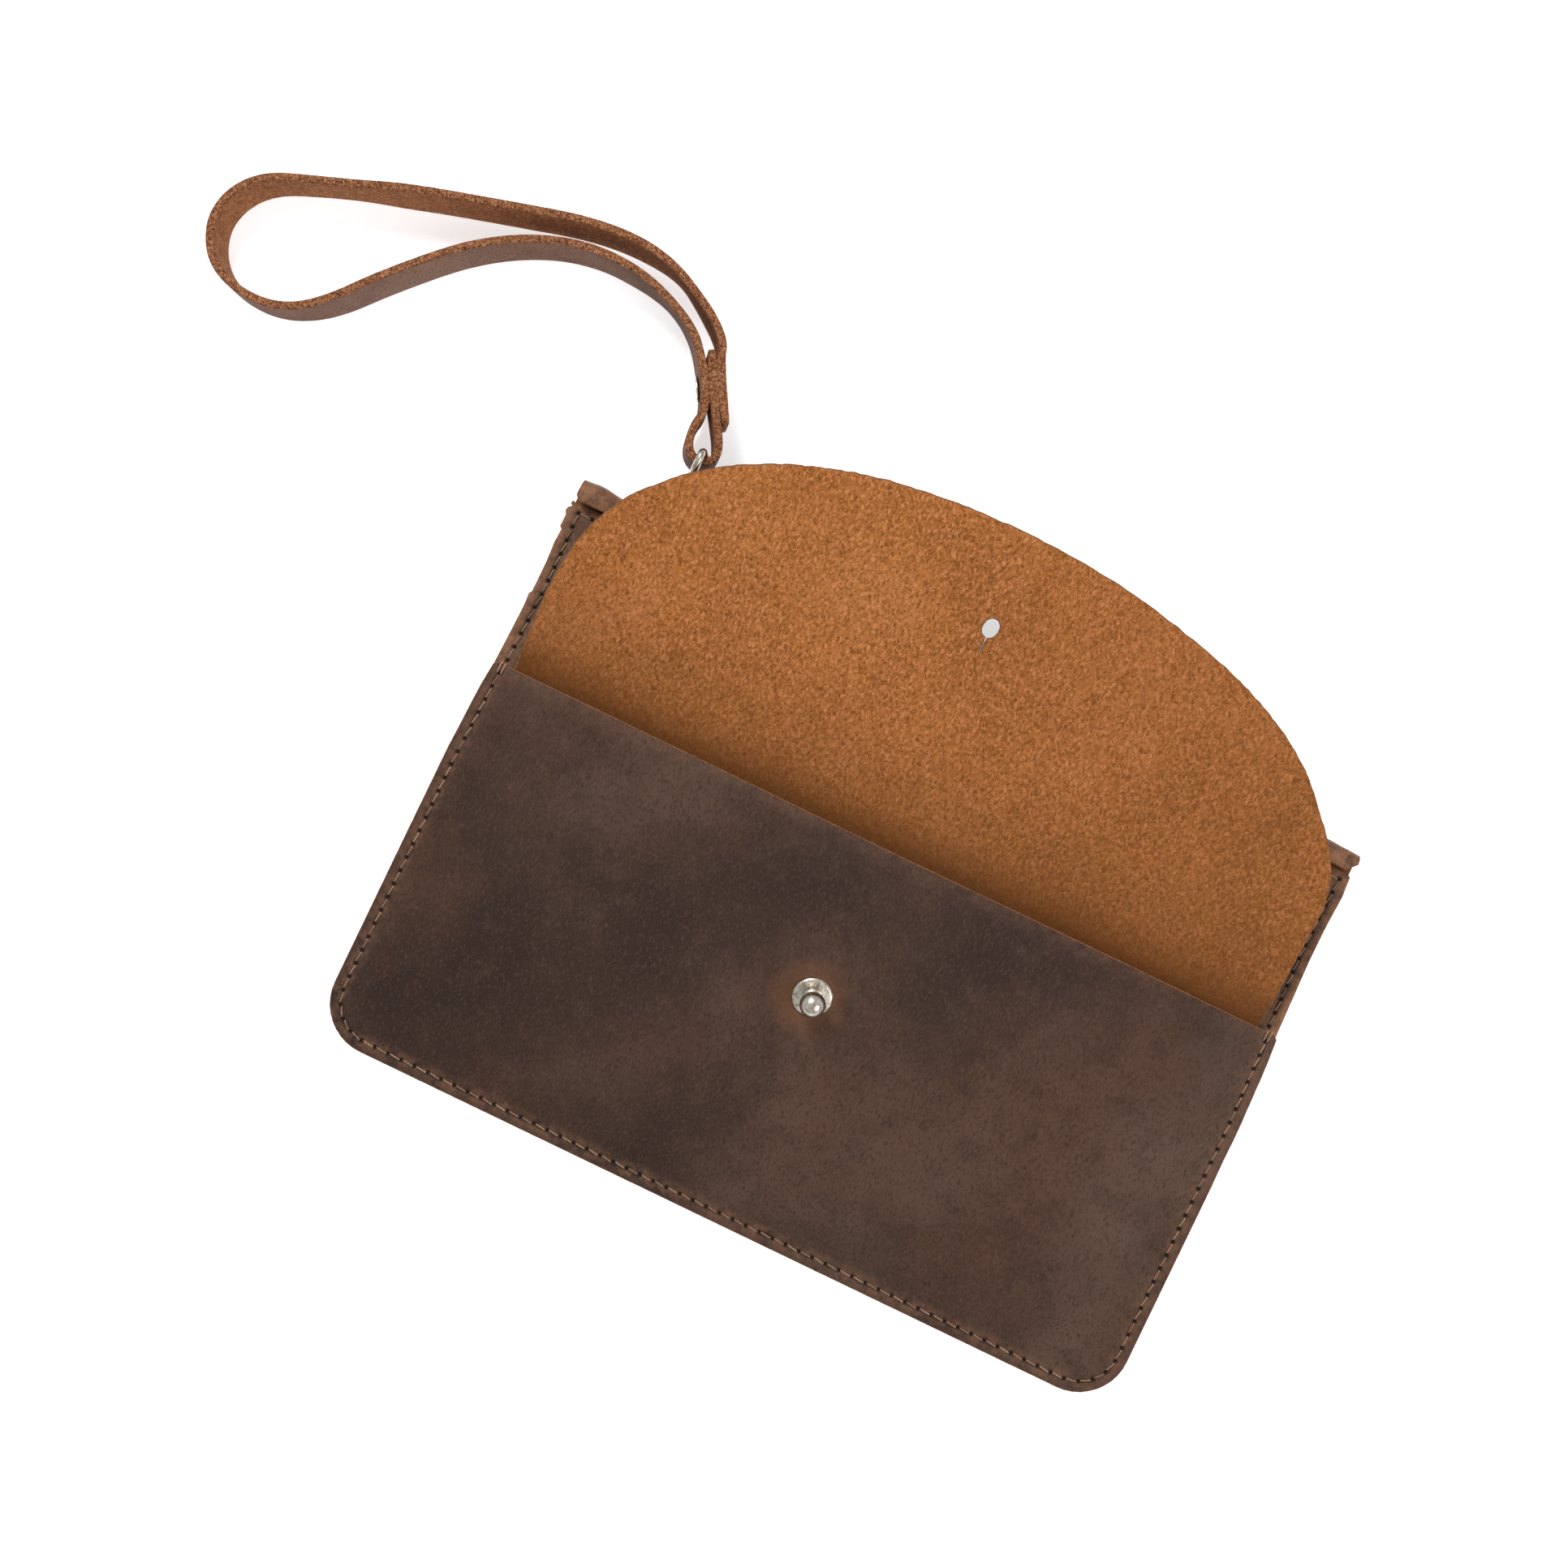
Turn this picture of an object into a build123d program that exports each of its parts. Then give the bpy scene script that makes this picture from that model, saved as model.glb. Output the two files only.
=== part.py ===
from build123d import *
import math
import os

# Leather wristlet wallet, lying on its back with its flap open, in millimetres.
# Origin: centre of the back panel's outer face. +X runs along the zip, +Y up to the top fold,
# +Z out of the front.

# Driving dimensions
BODY_W = 209.0  # across the side seams
BODY_H = 146.5  # bottom edge to the top fold
FRONT_H = 98.5  # height of the front pocket
CORNER_R = 12.7  # bottom corners
LEATHER = 1.5  # thickness of every panel
LAYER_GAP = 0.04  # between two layers that lie on each other
SEAM_W, LOW_SEAM_W = 6.3, 4.8  # flat margins that the side seams and the bottom seam press together
ZIP_POCKET_DEPTH = 4.6  # how far the zip pocket stands open at its fullest
ZIP_NECK_DEPTH = 3.3  # and just under the zip
FRONT_POCKET_DEPTH = 5.0  # how far the front pocket's mouth stands open

FLAP_W = 197.4  # across the flap
FLAP_REACH = 70.0  # from the fold to the flap's tip
LINER_STEP = 3.0  # the lining narrows to the flap's width this far under the mouth
FLAP_STRAIGHT = 17.0  # length of the flap's straight sides
FLAP_ANGLE = 12.5  # how far the open flap rises from the level
FOLD_ABOVE_MOUTH = 8.9  # fold line to the front pocket's mouth
FOLD_Z = 12.59  # height of the fold's axis
FOLD_R = 3.52  # inner radius of the fold
HOLE_FROM_FOLD = 48.7  # centre of the flap's stud hole
HOLE_R = 3.9  # the hole as it opens round the ball

ROLL_R = 3.05  # outer radius of the back panel's turned top
ROLL_REACH = 5.2  # how far the turned edge comes down the front
ZIP_HALF = 84.0  # half the length of the zip's window
WINDOW_H = 9.25  # height of the window
TAPE_W, TAPE_T = 5.2, 0.5
TAPE_PAST_WINDOW = 1.0  # how far the tapes run on under the leather at each end
TEETH_W, TEETH_T, TEETH_GAP = 1.5, 2.0, 1.4
ZIP_Z = 4.15  # mid-plane of the tapes
SLIDER_X = -76.4  # slider's middle, parked at the left end
SLIDER_L, SLIDER_W, PLATE_T = 10.0, 7.4, 0.8
PLATE_GAP = 3.1  # between the slider's two plates
POST_L = 2.4  # the post that joins the plates, along the zip
SIDE_WALL_T, TAPE_SLOT = 0.7, 1.1  # the slider's side walls, and the slot they leave for the tapes
LUG_GAP = 2.7  # clear height under the slider's lug
LUG_L, LUG_W, LUG_T = 7.2, 2.4, 1.0  # along the zip, across it, and the arch's thickness
TAB_W, TAB_T, TAB_END = 5.0, 1.4, 3.0  # pull tab, and what it keeps past its eye and its hole
TAB_EYE_L, TAB_EYE_W, TAB_HOLE_R = 2.2, 3.7, 1.45
STOP_L, STOP_W = 2.4, 5.0  # bottom stop
TOP_STOP_L, TOP_STOP_W = 1.6, 1.4
WIRE_R = 0.95  # wire of the D-ring
RING_X, RING_BAR_Y, RING_Z = -79.5, 90.3, 9.1
RING_HALF = 7.65  # half the length of the D-ring's bar, at the wire's centre
RING_CORNER = 1.65

STUD_X, STUD_BELOW_MOUTH = -1.0, 39.2
STUD_LEAN = 8.0  # the soft panel lets the stud lean towards the bottom edge
STUD_BASE_R, STUD_NECK_R, STUD_BALL_R = 4.85, 1.75, 3.1
STUD_BALL_Z = 5.3
STUD_SEAT = 0.2  # how deep the base presses into the leather
STUD_RIM, STUD_TOP, STUD_CHAMFER = 0.35, 0.7, 0.4  # the base disc's rim, height and chamfer
STUD_CROWN = 0.1  # how far the disc rises to the neck
SEAT_CLEAR = 0.03  # round the stud's and screw's seats
THREAD_L = 3.4  # how far the screw reaches into the stud
SLOT_W = 0.8  # screwdriver slot
SCREW_R, SCREW_HEAD_R, SCREW_HEAD_T = 1.2, 3.9, 0.8
SCREW_SINK = 0.25  # how deep the screw's head presses in

STRAP_W, STRAP_T = 12.7, 1.9
STRAP_LOW_END = (-207.0, 6.4)  # x and height of the middle of the strap where it stands on the table
RIVET_AT = (-84.75, 105.4)  # middle of the three strap layers
RIVET_ALONG = (-0.5, 0.866)  # direction of the layers there
RIVET_SHANK_R, RIVET_CAP_R = 1.5, 3.3
RIVET_CAP_T, RIVET_HEAD_T = 0.9, 0.6  # the cap, and the flatter head of the post
RIVET_SPAN = 6.0  # outer face to outer face of the three layers

STITCH_PITCH, STITCH_L, STITCH_W, STITCH_T = 3.5, 2.5, 0.7, 0.35
STITCH_IN = 2.7  # seam to the cut edge

# Worked-out places
HALF_W = BODY_W / 2
BOTTOM = -BODY_H / 2
TOP = BODY_H / 2
MOUTH = BOTTOM + FRONT_H
FOLD_Y = MOUTH + FOLD_ABOVE_MOUTH
SEAM_X = HALF_W - SEAM_W
SEAM_Y = BOTTOM + LOW_SEAM_W
ROLL_EDGE = TOP - ROLL_REACH
ZIP_Y = ROLL_EDGE - WINDOW_H / 2
WINDOW_Y = ROLL_EDGE - WINDOW_H
MIDDLE_Z = LEATHER + LAYER_GAP
LINER_Z = 2 * MIDDLE_Z
FRONT_Z = 3 * MIDDLE_Z
STUD_Y = MOUTH - STUD_BELOW_MOUTH
SLIDER_TOP = ZIP_Z + PLATE_GAP / 2 + PLATE_T
TAB_Z = SLIDER_TOP + LUG_GAP / 2

# The strap's centre line from the cut end beside the D-ring, up the outer arm of the wrist loop,
# round it, down the inner arm, round the D-ring's bar and up to the cut end inside the joint.
STRAP_ROUTE = [
    (-78.1, 98.3),
    (-80.1, 101.3),
    (-85.6, 110.9),
    (-86.4, 116.0),
    (-93.6, 122.7),
    (-105.3, 129.2),
    (-123.9, 129.7),
    (-146.4, 123.6),
    (-168.4, 117.1),
    (-188.6, 109.1),
    (-202.9, 103.0),
    (-208.5, 91.4),
    (-203.1, 79.4),
    (-188.9, 76.6),
    (-176.9, 81.8),
    (-164.7, 97.2),
    (-147.5, 113.7),
    (-128.0, 123.5),
    (-108.5, 122.6),
    (-95.0, 116.9),
    (-88.8, 108.5),
    (-83.7, 99.6),
    (-84.9, 94.6),
    (-83.6, 88.8),
    (-79.3, 87.2),
    (-76.3, 90.3),
    (-78.2, 94.8),
    (-81.0, 98.9),
    (-85.2, 106.2),
    (-88.6, 112.6),
]


def side_fade(x, power):
    """1 in the middle of the wallet, falling smoothly to 0 at the side seams."""
    return max(0.0, 1 - abs(x / SEAM_X) ** power) ** 1.5


def zip_rise(x, y):
    """How far the zip pocket lifts the middle panel at a point."""
    if y < 0:
        along = max(0.0, 1 - abs(y / SEAM_Y) ** 4) ** 1.2 * ZIP_POCKET_DEPTH
    else:
        drop = ZIP_POCKET_DEPTH - ZIP_NECK_DEPTH
        along = ZIP_POCKET_DEPTH - drop * min(1.0, y / WINDOW_Y) ** 4
    return along * side_fade(x, 18)


def front_rise(x, y):
    """How far the front pocket stands open at a point."""
    t = min(1.0, max(0.0, (y - SEAM_Y) / (MOUTH - SEAM_Y)))
    return FRONT_POCKET_DEPTH * (1 - (1 - t) ** 2.4) * side_fade(x, 6)


def full_rise(x, y):
    return zip_rise(x, y) + front_rise(x, y)


def outline(low, high, width=BODY_W, corners=CORNER_R):
    """A panel's outline, with its two bottom corners rounded."""
    plan = Pos(0, (low + high) / 2) * Rectangle(width, high - low)
    if corners:
        plan = fillet(plan.vertices().sort_by(Axis.Y)[:2], corners)
    return plan


def prism(plan, low=-1.0, high=40.0):
    return Pos(0, 0, low) * extrude(plan, high - low)


def sheet(rise, base):
    """A leather layer over the whole wallet, whose underside stands base + rise above the table."""
    columns, rows, past = 60, 44, 1.0
    xs = [(HALF_W + past) * math.sin(math.pi * (i / columns - 0.5)) for i in range(columns + 1)]
    ys = [BOTTOM - past + (BODY_H + 2 * past) * j / rows for j in range(rows + 1)]
    grid = [[Vector(x, y, base + rise(x, y)) for y in ys] for x in xs]
    skin = Face.make_surface_from_array_of_points(grid, tol=0.005)
    return extrude(skin, LEATHER, dir=(0, 0, 1))


def back_panel():
    """The back, with its top edge turned over to the front round a soft roll."""
    centre = TOP - ROLL_R
    inner = ROLL_R - LEATHER
    with BuildPart() as part:
        with BuildSketch(Plane.YZ.offset(-HALF_W)):
            with BuildLine():
                Polyline((centre, LEATHER), (BOTTOM, LEATHER), (BOTTOM, 0), (centre, 0))
                ThreePointArc((centre, 0), (TOP, ROLL_R), (centre, 2 * ROLL_R))
                Polyline(
                    (centre, 2 * ROLL_R),
                    (ROLL_EDGE, 2 * ROLL_R),
                    (ROLL_EDGE, 2 * ROLL_R - LEATHER),
                    (centre, 2 * ROLL_R - LEATHER),
                )
                ThreePointArc((centre, 2 * ROLL_R - LEATHER), (centre + inner, ROLL_R), (centre, LEATHER))
            make_face()
        extrude(amount=BODY_W)
    return part.part & prism(outline(BOTTOM, TOP + 1))


def middle_panel():
    """The front of the zip pocket, cut away along its top for the zip's window."""
    panel = sheet(zip_rise, MIDDLE_Z) & prism(outline(BOTTOM, ROLL_EDGE - 0.15))
    window = Pos(0, WINDOW_Y + WINDOW_H / 2) * Rectangle(2 * ZIP_HALF, WINDOW_H + 0.01)
    return panel - prism(window)


def flap_liner():
    """The sewn-in lower part of the flap leather, which lines the front pocket up to the fold."""
    lower = outline(BOTTOM, MOUTH - LINER_STEP)
    upper = Pos(0, FOLD_Y / 2) * Rectangle(FLAP_W, FOLD_Y)
    return sheet(zip_rise, LINER_Z) & prism(lower + upper)


def flap_plane():
    """The open flap's suede face: origin at the fold, x along +X, y towards the tip."""
    lean = math.radians(FLAP_ANGLE)
    start = (0, FOLD_Y + FOLD_R * math.sin(lean), FOLD_Z - FOLD_R * math.cos(lean))
    return Plane(origin=start, x_dir=(1, 0, 0), z_dir=(0, -math.sin(lean), math.cos(lean)))


def flap():
    """The moving flap: straight sides, then half a flat ellipse, with the stud's hole."""
    half = FLAP_W / 2
    arc_h = FLAP_REACH - FLAP_STRAIGHT
    oval = Pos(0, FLAP_STRAIGHT) * Ellipse(half, arc_h)
    sides = Pos(0, FLAP_STRAIGHT / 2 + 0.1) * Rectangle(FLAP_W, FLAP_STRAIGHT - 0.2)
    shoulder = Pos(0, FLAP_STRAIGHT + arc_h / 2) * Rectangle(FLAP_W, arc_h)
    plan = sides + (oval & shoulder) - Pos(STUD_X, HOLE_FROM_FOLD) * Circle(HOLE_R)
    return flap_plane() * extrude(plan, -LEATHER)


def stud_plane():
    """The stud's seat on the front panel's outer face, leaning towards the bottom edge."""
    lean = math.radians(STUD_LEAN)
    height = FRONT_Z + full_rise(0, STUD_Y) + LEATHER
    normal = (0, -math.sin(lean), math.cos(lean))
    return Plane(origin=(STUD_X, STUD_Y, height - STUD_SEAT), x_dir=(1, 0, 0), z_dir=normal)


def front_panel():
    """The front pocket's outer panel, with seats pressed in by the stud and its screw."""
    panel = sheet(full_rise, FRONT_Z) & prism(outline(BOTTOM, MOUTH))
    seat = stud_plane() * extrude(Circle(STUD_BASE_R + SEAT_CLEAR), 2 * LEATHER)
    below = Pos(0, 0, -4 * LEATHER)
    bore = stud_plane() * below * extrude(Circle(SCREW_R + 3 * SEAT_CLEAR), 6 * LEATHER)
    head_seat = extrude(Circle(SCREW_HEAD_R + SEAT_CLEAR), 4 * LEATHER - screw_depth())
    back_seat = stud_plane() * below * head_seat
    return panel - seat - bore - back_seat


def screw_depth():
    """Seat to the underside of the leather that the screw's head clamps."""
    return LEATHER - STUD_SEAT - SCREW_SINK


def stud_head():
    """Base disc, neck and ball, turned from one piece and tapped from below."""
    rise, shoulder = STUD_TOP, STUD_BASE_R - STUD_CHAMFER
    start = math.asin(STUD_NECK_R / STUD_BALL_R)
    low = STUD_BALL_Z - STUD_BALL_R * math.cos(start)
    with BuildPart() as part:
        with BuildSketch(Plane.XZ):
            with BuildLine():
                Line((0, 0), (STUD_BASE_R, 0))
                Line((STUD_BASE_R, 0), (STUD_BASE_R, STUD_RIM))
                Line((STUD_BASE_R, STUD_RIM), (shoulder, rise))
                Line((shoulder, rise), (STUD_NECK_R, rise + STUD_CROWN))
                Line((STUD_NECK_R, rise + STUD_CROWN), (STUD_NECK_R, low))
                ThreePointArc(
                    (STUD_NECK_R, low), (STUD_BALL_R, STUD_BALL_Z), (0, STUD_BALL_Z + STUD_BALL_R)
                )
                Line((0, STUD_BALL_Z + STUD_BALL_R), (0, 0))
            make_face()
        revolve(axis=Axis.Z)
    return stud_plane() * (part.part - extrude(Circle(SCREW_R + 2 * SEAT_CLEAR), THREAD_L + 0.2))


def stud_screw():
    """Slotted screw from inside the pocket into the stud."""
    depth = screw_depth()
    head = Pos(0, 0, -depth - SCREW_HEAD_T) * extrude(Circle(SCREW_HEAD_R), SCREW_HEAD_T - 0.02)
    shank = Pos(0, 0, -depth - SCREW_HEAD_T) * extrude(Circle(SCREW_R), SCREW_HEAD_T + depth + THREAD_L)
    slot = Pos(0, 0, -depth - SCREW_HEAD_T) * Box(3 * SCREW_HEAD_R, SLOT_W, SLOT_W)
    return stud_plane() * (head + shank - slot)


def zipper_tape(side):
    """One fabric tape, from its row of teeth to under the leather; side is +1 above the zip."""
    inner = TEETH_GAP / 2 + TEETH_W - 0.5
    middle = ZIP_Y + side * (inner + TAPE_W / 2)
    tape = Pos(0, middle, ZIP_Z) * Box(2 * (ZIP_HALF + TAPE_PAST_WINDOW), TAPE_W, TAPE_T)
    return tape - teeth_row(side)


def teeth_row(side):
    """One row of teeth, plain, holding the tape's edge in its side."""
    middle = ZIP_Y + side * (TEETH_GAP + TEETH_W) / 2
    return Pos(0, middle, ZIP_Z) * Box(2 * ZIP_HALF - 6, TEETH_W, TEETH_T)


def tape_slots():
    """The room that both tapes take, with a little clearance, for what is crimped round them."""
    slot = Box(2 * BODY_W, TAPE_W + 2 * LAYER_GAP, TAPE_T + 2 * LAYER_GAP)
    middle = TEETH_GAP / 2 + TEETH_W - 0.5 + TAPE_W / 2
    return Pos(0, ZIP_Y + middle, ZIP_Z) * slot + Pos(0, ZIP_Y - middle, ZIP_Z) * slot


def zip_stop(x, y, length, width):
    """A small crimped block across the zip."""
    block = Pos(x, y, ZIP_Z) * Box(length, width, TEETH_T + 0.4)
    return fillet(block.edges().filter_by(Axis.Z), 0.3)


def zipper_bottom_stop():
    """The stop that both rows end in, beside the parked slider."""
    return zip_stop(-ZIP_HALF + 0.7 * STOP_L, ZIP_Y, STOP_L, STOP_W) - tape_slots()


def zipper_top_stops():
    """One stop at the far end of each row."""
    x = ZIP_HALF - 1.3 * TOP_STOP_L
    y = (TEETH_GAP + TEETH_W) / 2
    return [zip_stop(x, ZIP_Y + side * y, TOP_STOP_L, TOP_STOP_W) - tape_slots() for side in (-1, 1)]


def slider_plan():
    """The slider's outline: a rounded shield, wider where it opens the rows."""
    half_l, half_w = SLIDER_L / 2, SLIDER_W / 2
    plan = Polygon(
        (-half_l, -half_w + 1.0),
        (-half_l + 2.5, -half_w),
        (half_l - 2.5, -half_w),
        (half_l, -half_w + 1.0),
        (half_l, half_w - 1.0),
        (half_l - 2.5, half_w),
        (-half_l + 2.5, half_w),
        (-half_l, half_w - 1.0),
        align=None,
    )
    return fillet(plan.vertices(), 0.6)


def slider_body():
    """Two plates joined by a post, with side walls that leave slots for the tapes."""
    plate = extrude(slider_plan(), PLATE_T)
    low = Pos(0, 0, -PLATE_GAP / 2 - PLATE_T) * plate
    high = Pos(0, 0, PLATE_GAP / 2) * plate
    post = Box(POST_L, TEETH_GAP - 0.3, PLATE_GAP)
    wall_h = (PLATE_GAP - TAPE_SLOT) / 2
    wall = Box(0.7 * SLIDER_L, SIDE_WALL_T, wall_h)
    side = (SLIDER_W - SIDE_WALL_T) / 2
    drop = (PLATE_GAP - wall_h) / 2
    walls = [Pos(0, a * side, b * drop) * wall for a in (-1, 1) for b in (-1, 1)]
    body = low + high + post + walls
    return Pos(SLIDER_X, ZIP_Y, ZIP_Z) * body


def slider_lug():
    """The arch on the slider's back that the pull tab hangs from."""
    outer = Pos(0, (LUG_GAP + LUG_T) / 2) * RectangleRounded(LUG_L, LUG_GAP + LUG_T, 0.9 * LUG_T)
    window = Pos(0, (LUG_GAP - LUG_W / 2) / 2) * Rectangle(LUG_L - LUG_W, LUG_GAP + LUG_W / 2)
    arch = extrude(outer - window, LUG_W / 2, both=True)
    return Pos(SLIDER_X, ZIP_Y, SLIDER_TOP) * (Rot(90, 0, 0) * arch)


def pull_tab():
    """Flat metal tab: an eye round the lug's left leg, and a hole for the D-ring."""
    near, far = ZIP_Y - TAB_END - 0.2, ring_low_y() + TAB_END
    body = Pos(0, (near + far) / 2) * RectangleRounded(TAB_W, far - near, 0.46 * TAB_W)
    eye = Pos(0, ZIP_Y) * RectangleRounded(TAB_EYE_L, TAB_EYE_W, 0.4)
    hole = Pos(0, ring_low_y()) * Circle(TAB_HOLE_R)
    plan = body - eye - hole
    return Pos(RING_X, 0, TAB_Z - TAB_T / 2) * extrude(plan, TAB_T)


def ring_low_y():
    """The wire's centre where the D-ring's bow passes through the tab."""
    return RING_BAR_Y - RING_CORNER - RING_HALF


def d_ring():
    """Closed D of round wire standing on edge: a straight bar for the strap and a half-round bow."""
    bar, corner = RING_HALF - RING_CORNER, RING_CORNER
    turn = corner * math.sqrt(0.5)
    y0 = RING_BAR_Y - corner
    with BuildLine(Plane.YZ.offset(RING_X)) as path:
        Line((RING_BAR_Y, RING_Z - bar), (RING_BAR_Y, RING_Z + bar))
        ThreePointArc(
            (RING_BAR_Y, RING_Z + bar), (y0 + turn, RING_Z + bar + turn), (y0, RING_Z + RING_HALF)
        )
        ThreePointArc(
            (y0, RING_Z + RING_HALF), (y0 - RING_HALF, RING_Z), (y0, RING_Z - RING_HALF)
        )
        ThreePointArc(
            (y0, RING_Z - RING_HALF), (y0 + turn, RING_Z - bar - turn), (RING_BAR_Y, RING_Z - bar)
        )
    section = Plane(origin=(RING_X, RING_BAR_Y, RING_Z - bar), z_dir=(0, 0, 1)) * Circle(WIRE_R)
    return sweep(section, path=path.wire())


def strap_tilt():
    """The strap stands on edge: held up by the D-ring, and down on the table at its far end."""
    x, z = STRAP_LOW_END
    slope = math.degrees(math.atan2(RING_Z - z, RING_X - x))
    return Pos(x, 0, z) * Rot(0, -slope, 0) * Pos(-x, 0, 0)


def route_radii():
    """Each corner's arc, as large as its two runs allow."""
    points = [Vector(*p) for p in STRAP_ROUTE]
    radii = []
    for a, b, c in zip(points, points[1:], points[2:]):
        turn = math.radians((b - a).get_angle(c - b))
        radii.append(0.45 * min((b - a).length, (c - b).length) / math.tan(turn / 2))
    return radii


def rivet_plane():
    """The rivet's axis, through the three layers from the inner arm to the outer one."""
    along = math.degrees(math.atan2(RIVET_ALONG[1], RIVET_ALONG[0]))
    return Pos(RIVET_AT[0], RIVET_AT[1], 0) * Rot(0, 0, along - 90) * Rot(0, 90, 0)


def wrist_strap():
    """One leather strip on edge: the wrist loop, and the small loop round the D-ring."""
    radii = route_radii()
    print("strap radii:", [round(r, 1) for r in radii])
    path = FilletPolyline(*[(x, y) for x, y in STRAP_ROUTE], radius=radii)
    start = path @ 0
    heading = path % 0
    section = Plane(origin=start, x_dir=(0, 0, 1), z_dir=heading) * Rectangle(STRAP_W, STRAP_T)
    strip = sweep(section, path=path)
    print("strap length %.1f, volume over section times length %.4f"
          % (path.length, strip.volume / (STRAP_W * STRAP_T * path.length)))
    hole = rivet_plane() * Cylinder(RIVET_SHANK_R + 0.05, 20)
    return strap_tilt() * (strip - hole)


def rivet_post():
    """The rivet's shank and the cap on the outer arm's side."""
    shank = Pos(0, 0, -RIVET_SPAN / 2) * extrude(Circle(RIVET_SHANK_R), RIVET_SPAN)
    head = Pos(0, 0, RIVET_SPAN / 2 + 0.06) * rivet_dome(RIVET_HEAD_T)
    join = Pos(0, 0, RIVET_SPAN / 2 - 0.01) * extrude(Circle(RIVET_SHANK_R), 0.3)
    return strap_tilt() * (rivet_plane() * (shank + head + join))


def rivet_cap():
    """The cap that the shank is set into, on the inner arm's side."""
    cap = Pos(0, 0, -RIVET_SPAN / 2 - 0.06) * (Rot(180, 0, 0) * rivet_dome(RIVET_CAP_T))
    return strap_tilt() * (rivet_plane() * cap)


def rivet_dome(height):
    """A low round cap with a rolled rim."""
    dome = extrude(Circle(RIVET_CAP_R), height)
    return fillet(dome.edges().sort_by(Axis.Z)[-1], 0.6 * height)


def stitch():
    """One stitch of waxed thread, lying along X."""
    block = Pos(0, 0, STITCH_T / 2) * Box(STITCH_L, STITCH_W, STITCH_T)
    return fillet(block.edges().filter_by(Axis.Z), 0.3)


def stitches_along(path, height):
    """Evenly spaced stitches along a level path, each a separate solid."""
    count = round(path.length / STITCH_PITCH)
    made = []
    for i in range(count):
        place = (i + 0.5) / count
        point, heading = path @ place, path % place
        turn = math.degrees(math.atan2(heading.Y, heading.X))
        made.append(Pos(point.X, point.Y, height) * Rot(0, 0, turn) * stitch())
    return made


def front_seam():
    """The row round the front pocket: down one side, along the bottom and up the other."""
    x, y = HALF_W - STITCH_IN, BOTTOM + STITCH_IN
    corners = [(-x, MOUTH - 3.5), (-x, y), (x, y), (x, MOUTH - 3.5)]
    path = FilletPolyline(*corners, radius=CORNER_R - STITCH_IN)
    return stitches_along(path, FRONT_Z + LEATHER + 0.01)


def side_seams():
    """The two rows that carry on up the zip pocket's sides."""
    x = HALF_W - STITCH_IN
    rows = [Line((side * x, MOUTH + 2.0), (side * x, ROLL_EDGE - 3.5)) for side in (-1, 1)]
    return [s for row in rows for s in stitches_along(row, MIDDLE_Z + LEATHER + 0.01)]


def corner_locks():
    """The bar of thread over the cut edge at each end of the front pocket's mouth."""
    bar = extrude(RectangleRounded(STITCH_T, 4.4, 0.1), STITCH_W)
    x = HALF_W - STITCH_IN
    height = FRONT_Z + LEATHER + 0.01
    return [Pos(side * x, MOUTH - 0.6, height) * bar for side in (-1, 1)]


def zipper_seams():
    """The row under the zip's window and the row along the turned edge."""
    x = ZIP_HALF - 3
    low = Line((-x, WINDOW_Y - 1.6), (x, WINDOW_Y - 1.6))
    high = Line((-x, ROLL_EDGE + 1.2), (x, ROLL_EDGE + 1.2))
    low_z = MIDDLE_Z + zip_rise(0, WINDOW_Y) + LEATHER + 0.22
    return stitches_along(low, low_z) + stitches_along(high, 2 * ROLL_R + 0.01)


def save(name, shape):
    """One STEP file for each node; a list becomes a group of separate solids."""
    shape = Compound(children=shape) if isinstance(shape, list) else shape
    export_step(shape, f"parts/{name}.step")


os.makedirs("parts", exist_ok=True)
save("back_panel", back_panel())
save("middle_panel", middle_panel())
save("flap_liner", flap_liner())
save("flap", flap())
save("front_panel", front_panel())
save("stud_head", stud_head())
save("stud_screw", stud_screw())
save("zipper_tape_upper", zipper_tape(1))
save("zipper_tape_lower", zipper_tape(-1))
save("zipper_teeth_upper", teeth_row(1))
save("zipper_teeth_lower", teeth_row(-1))
save("zipper_bottom_stop", zipper_bottom_stop())
save("zipper_top_stops", zipper_top_stops())
save("slider_body", slider_body())
save("slider_lug", slider_lug())
save("pull_tab", pull_tab())
save("d_ring", d_ring())
save("wrist_strap", wrist_strap())
save("rivet_post", rivet_post())
save("rivet_cap", rivet_cap())
save("front_seam_thread", front_seam())
save("side_seam_thread", side_seams())
save("corner_lock_thread", corner_locks())
save("zipper_seam_thread", zipper_seams())
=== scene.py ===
import math
import random

import bpy
import numpy as np
from mathutils import Matrix, Vector, geometry, noise


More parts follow.
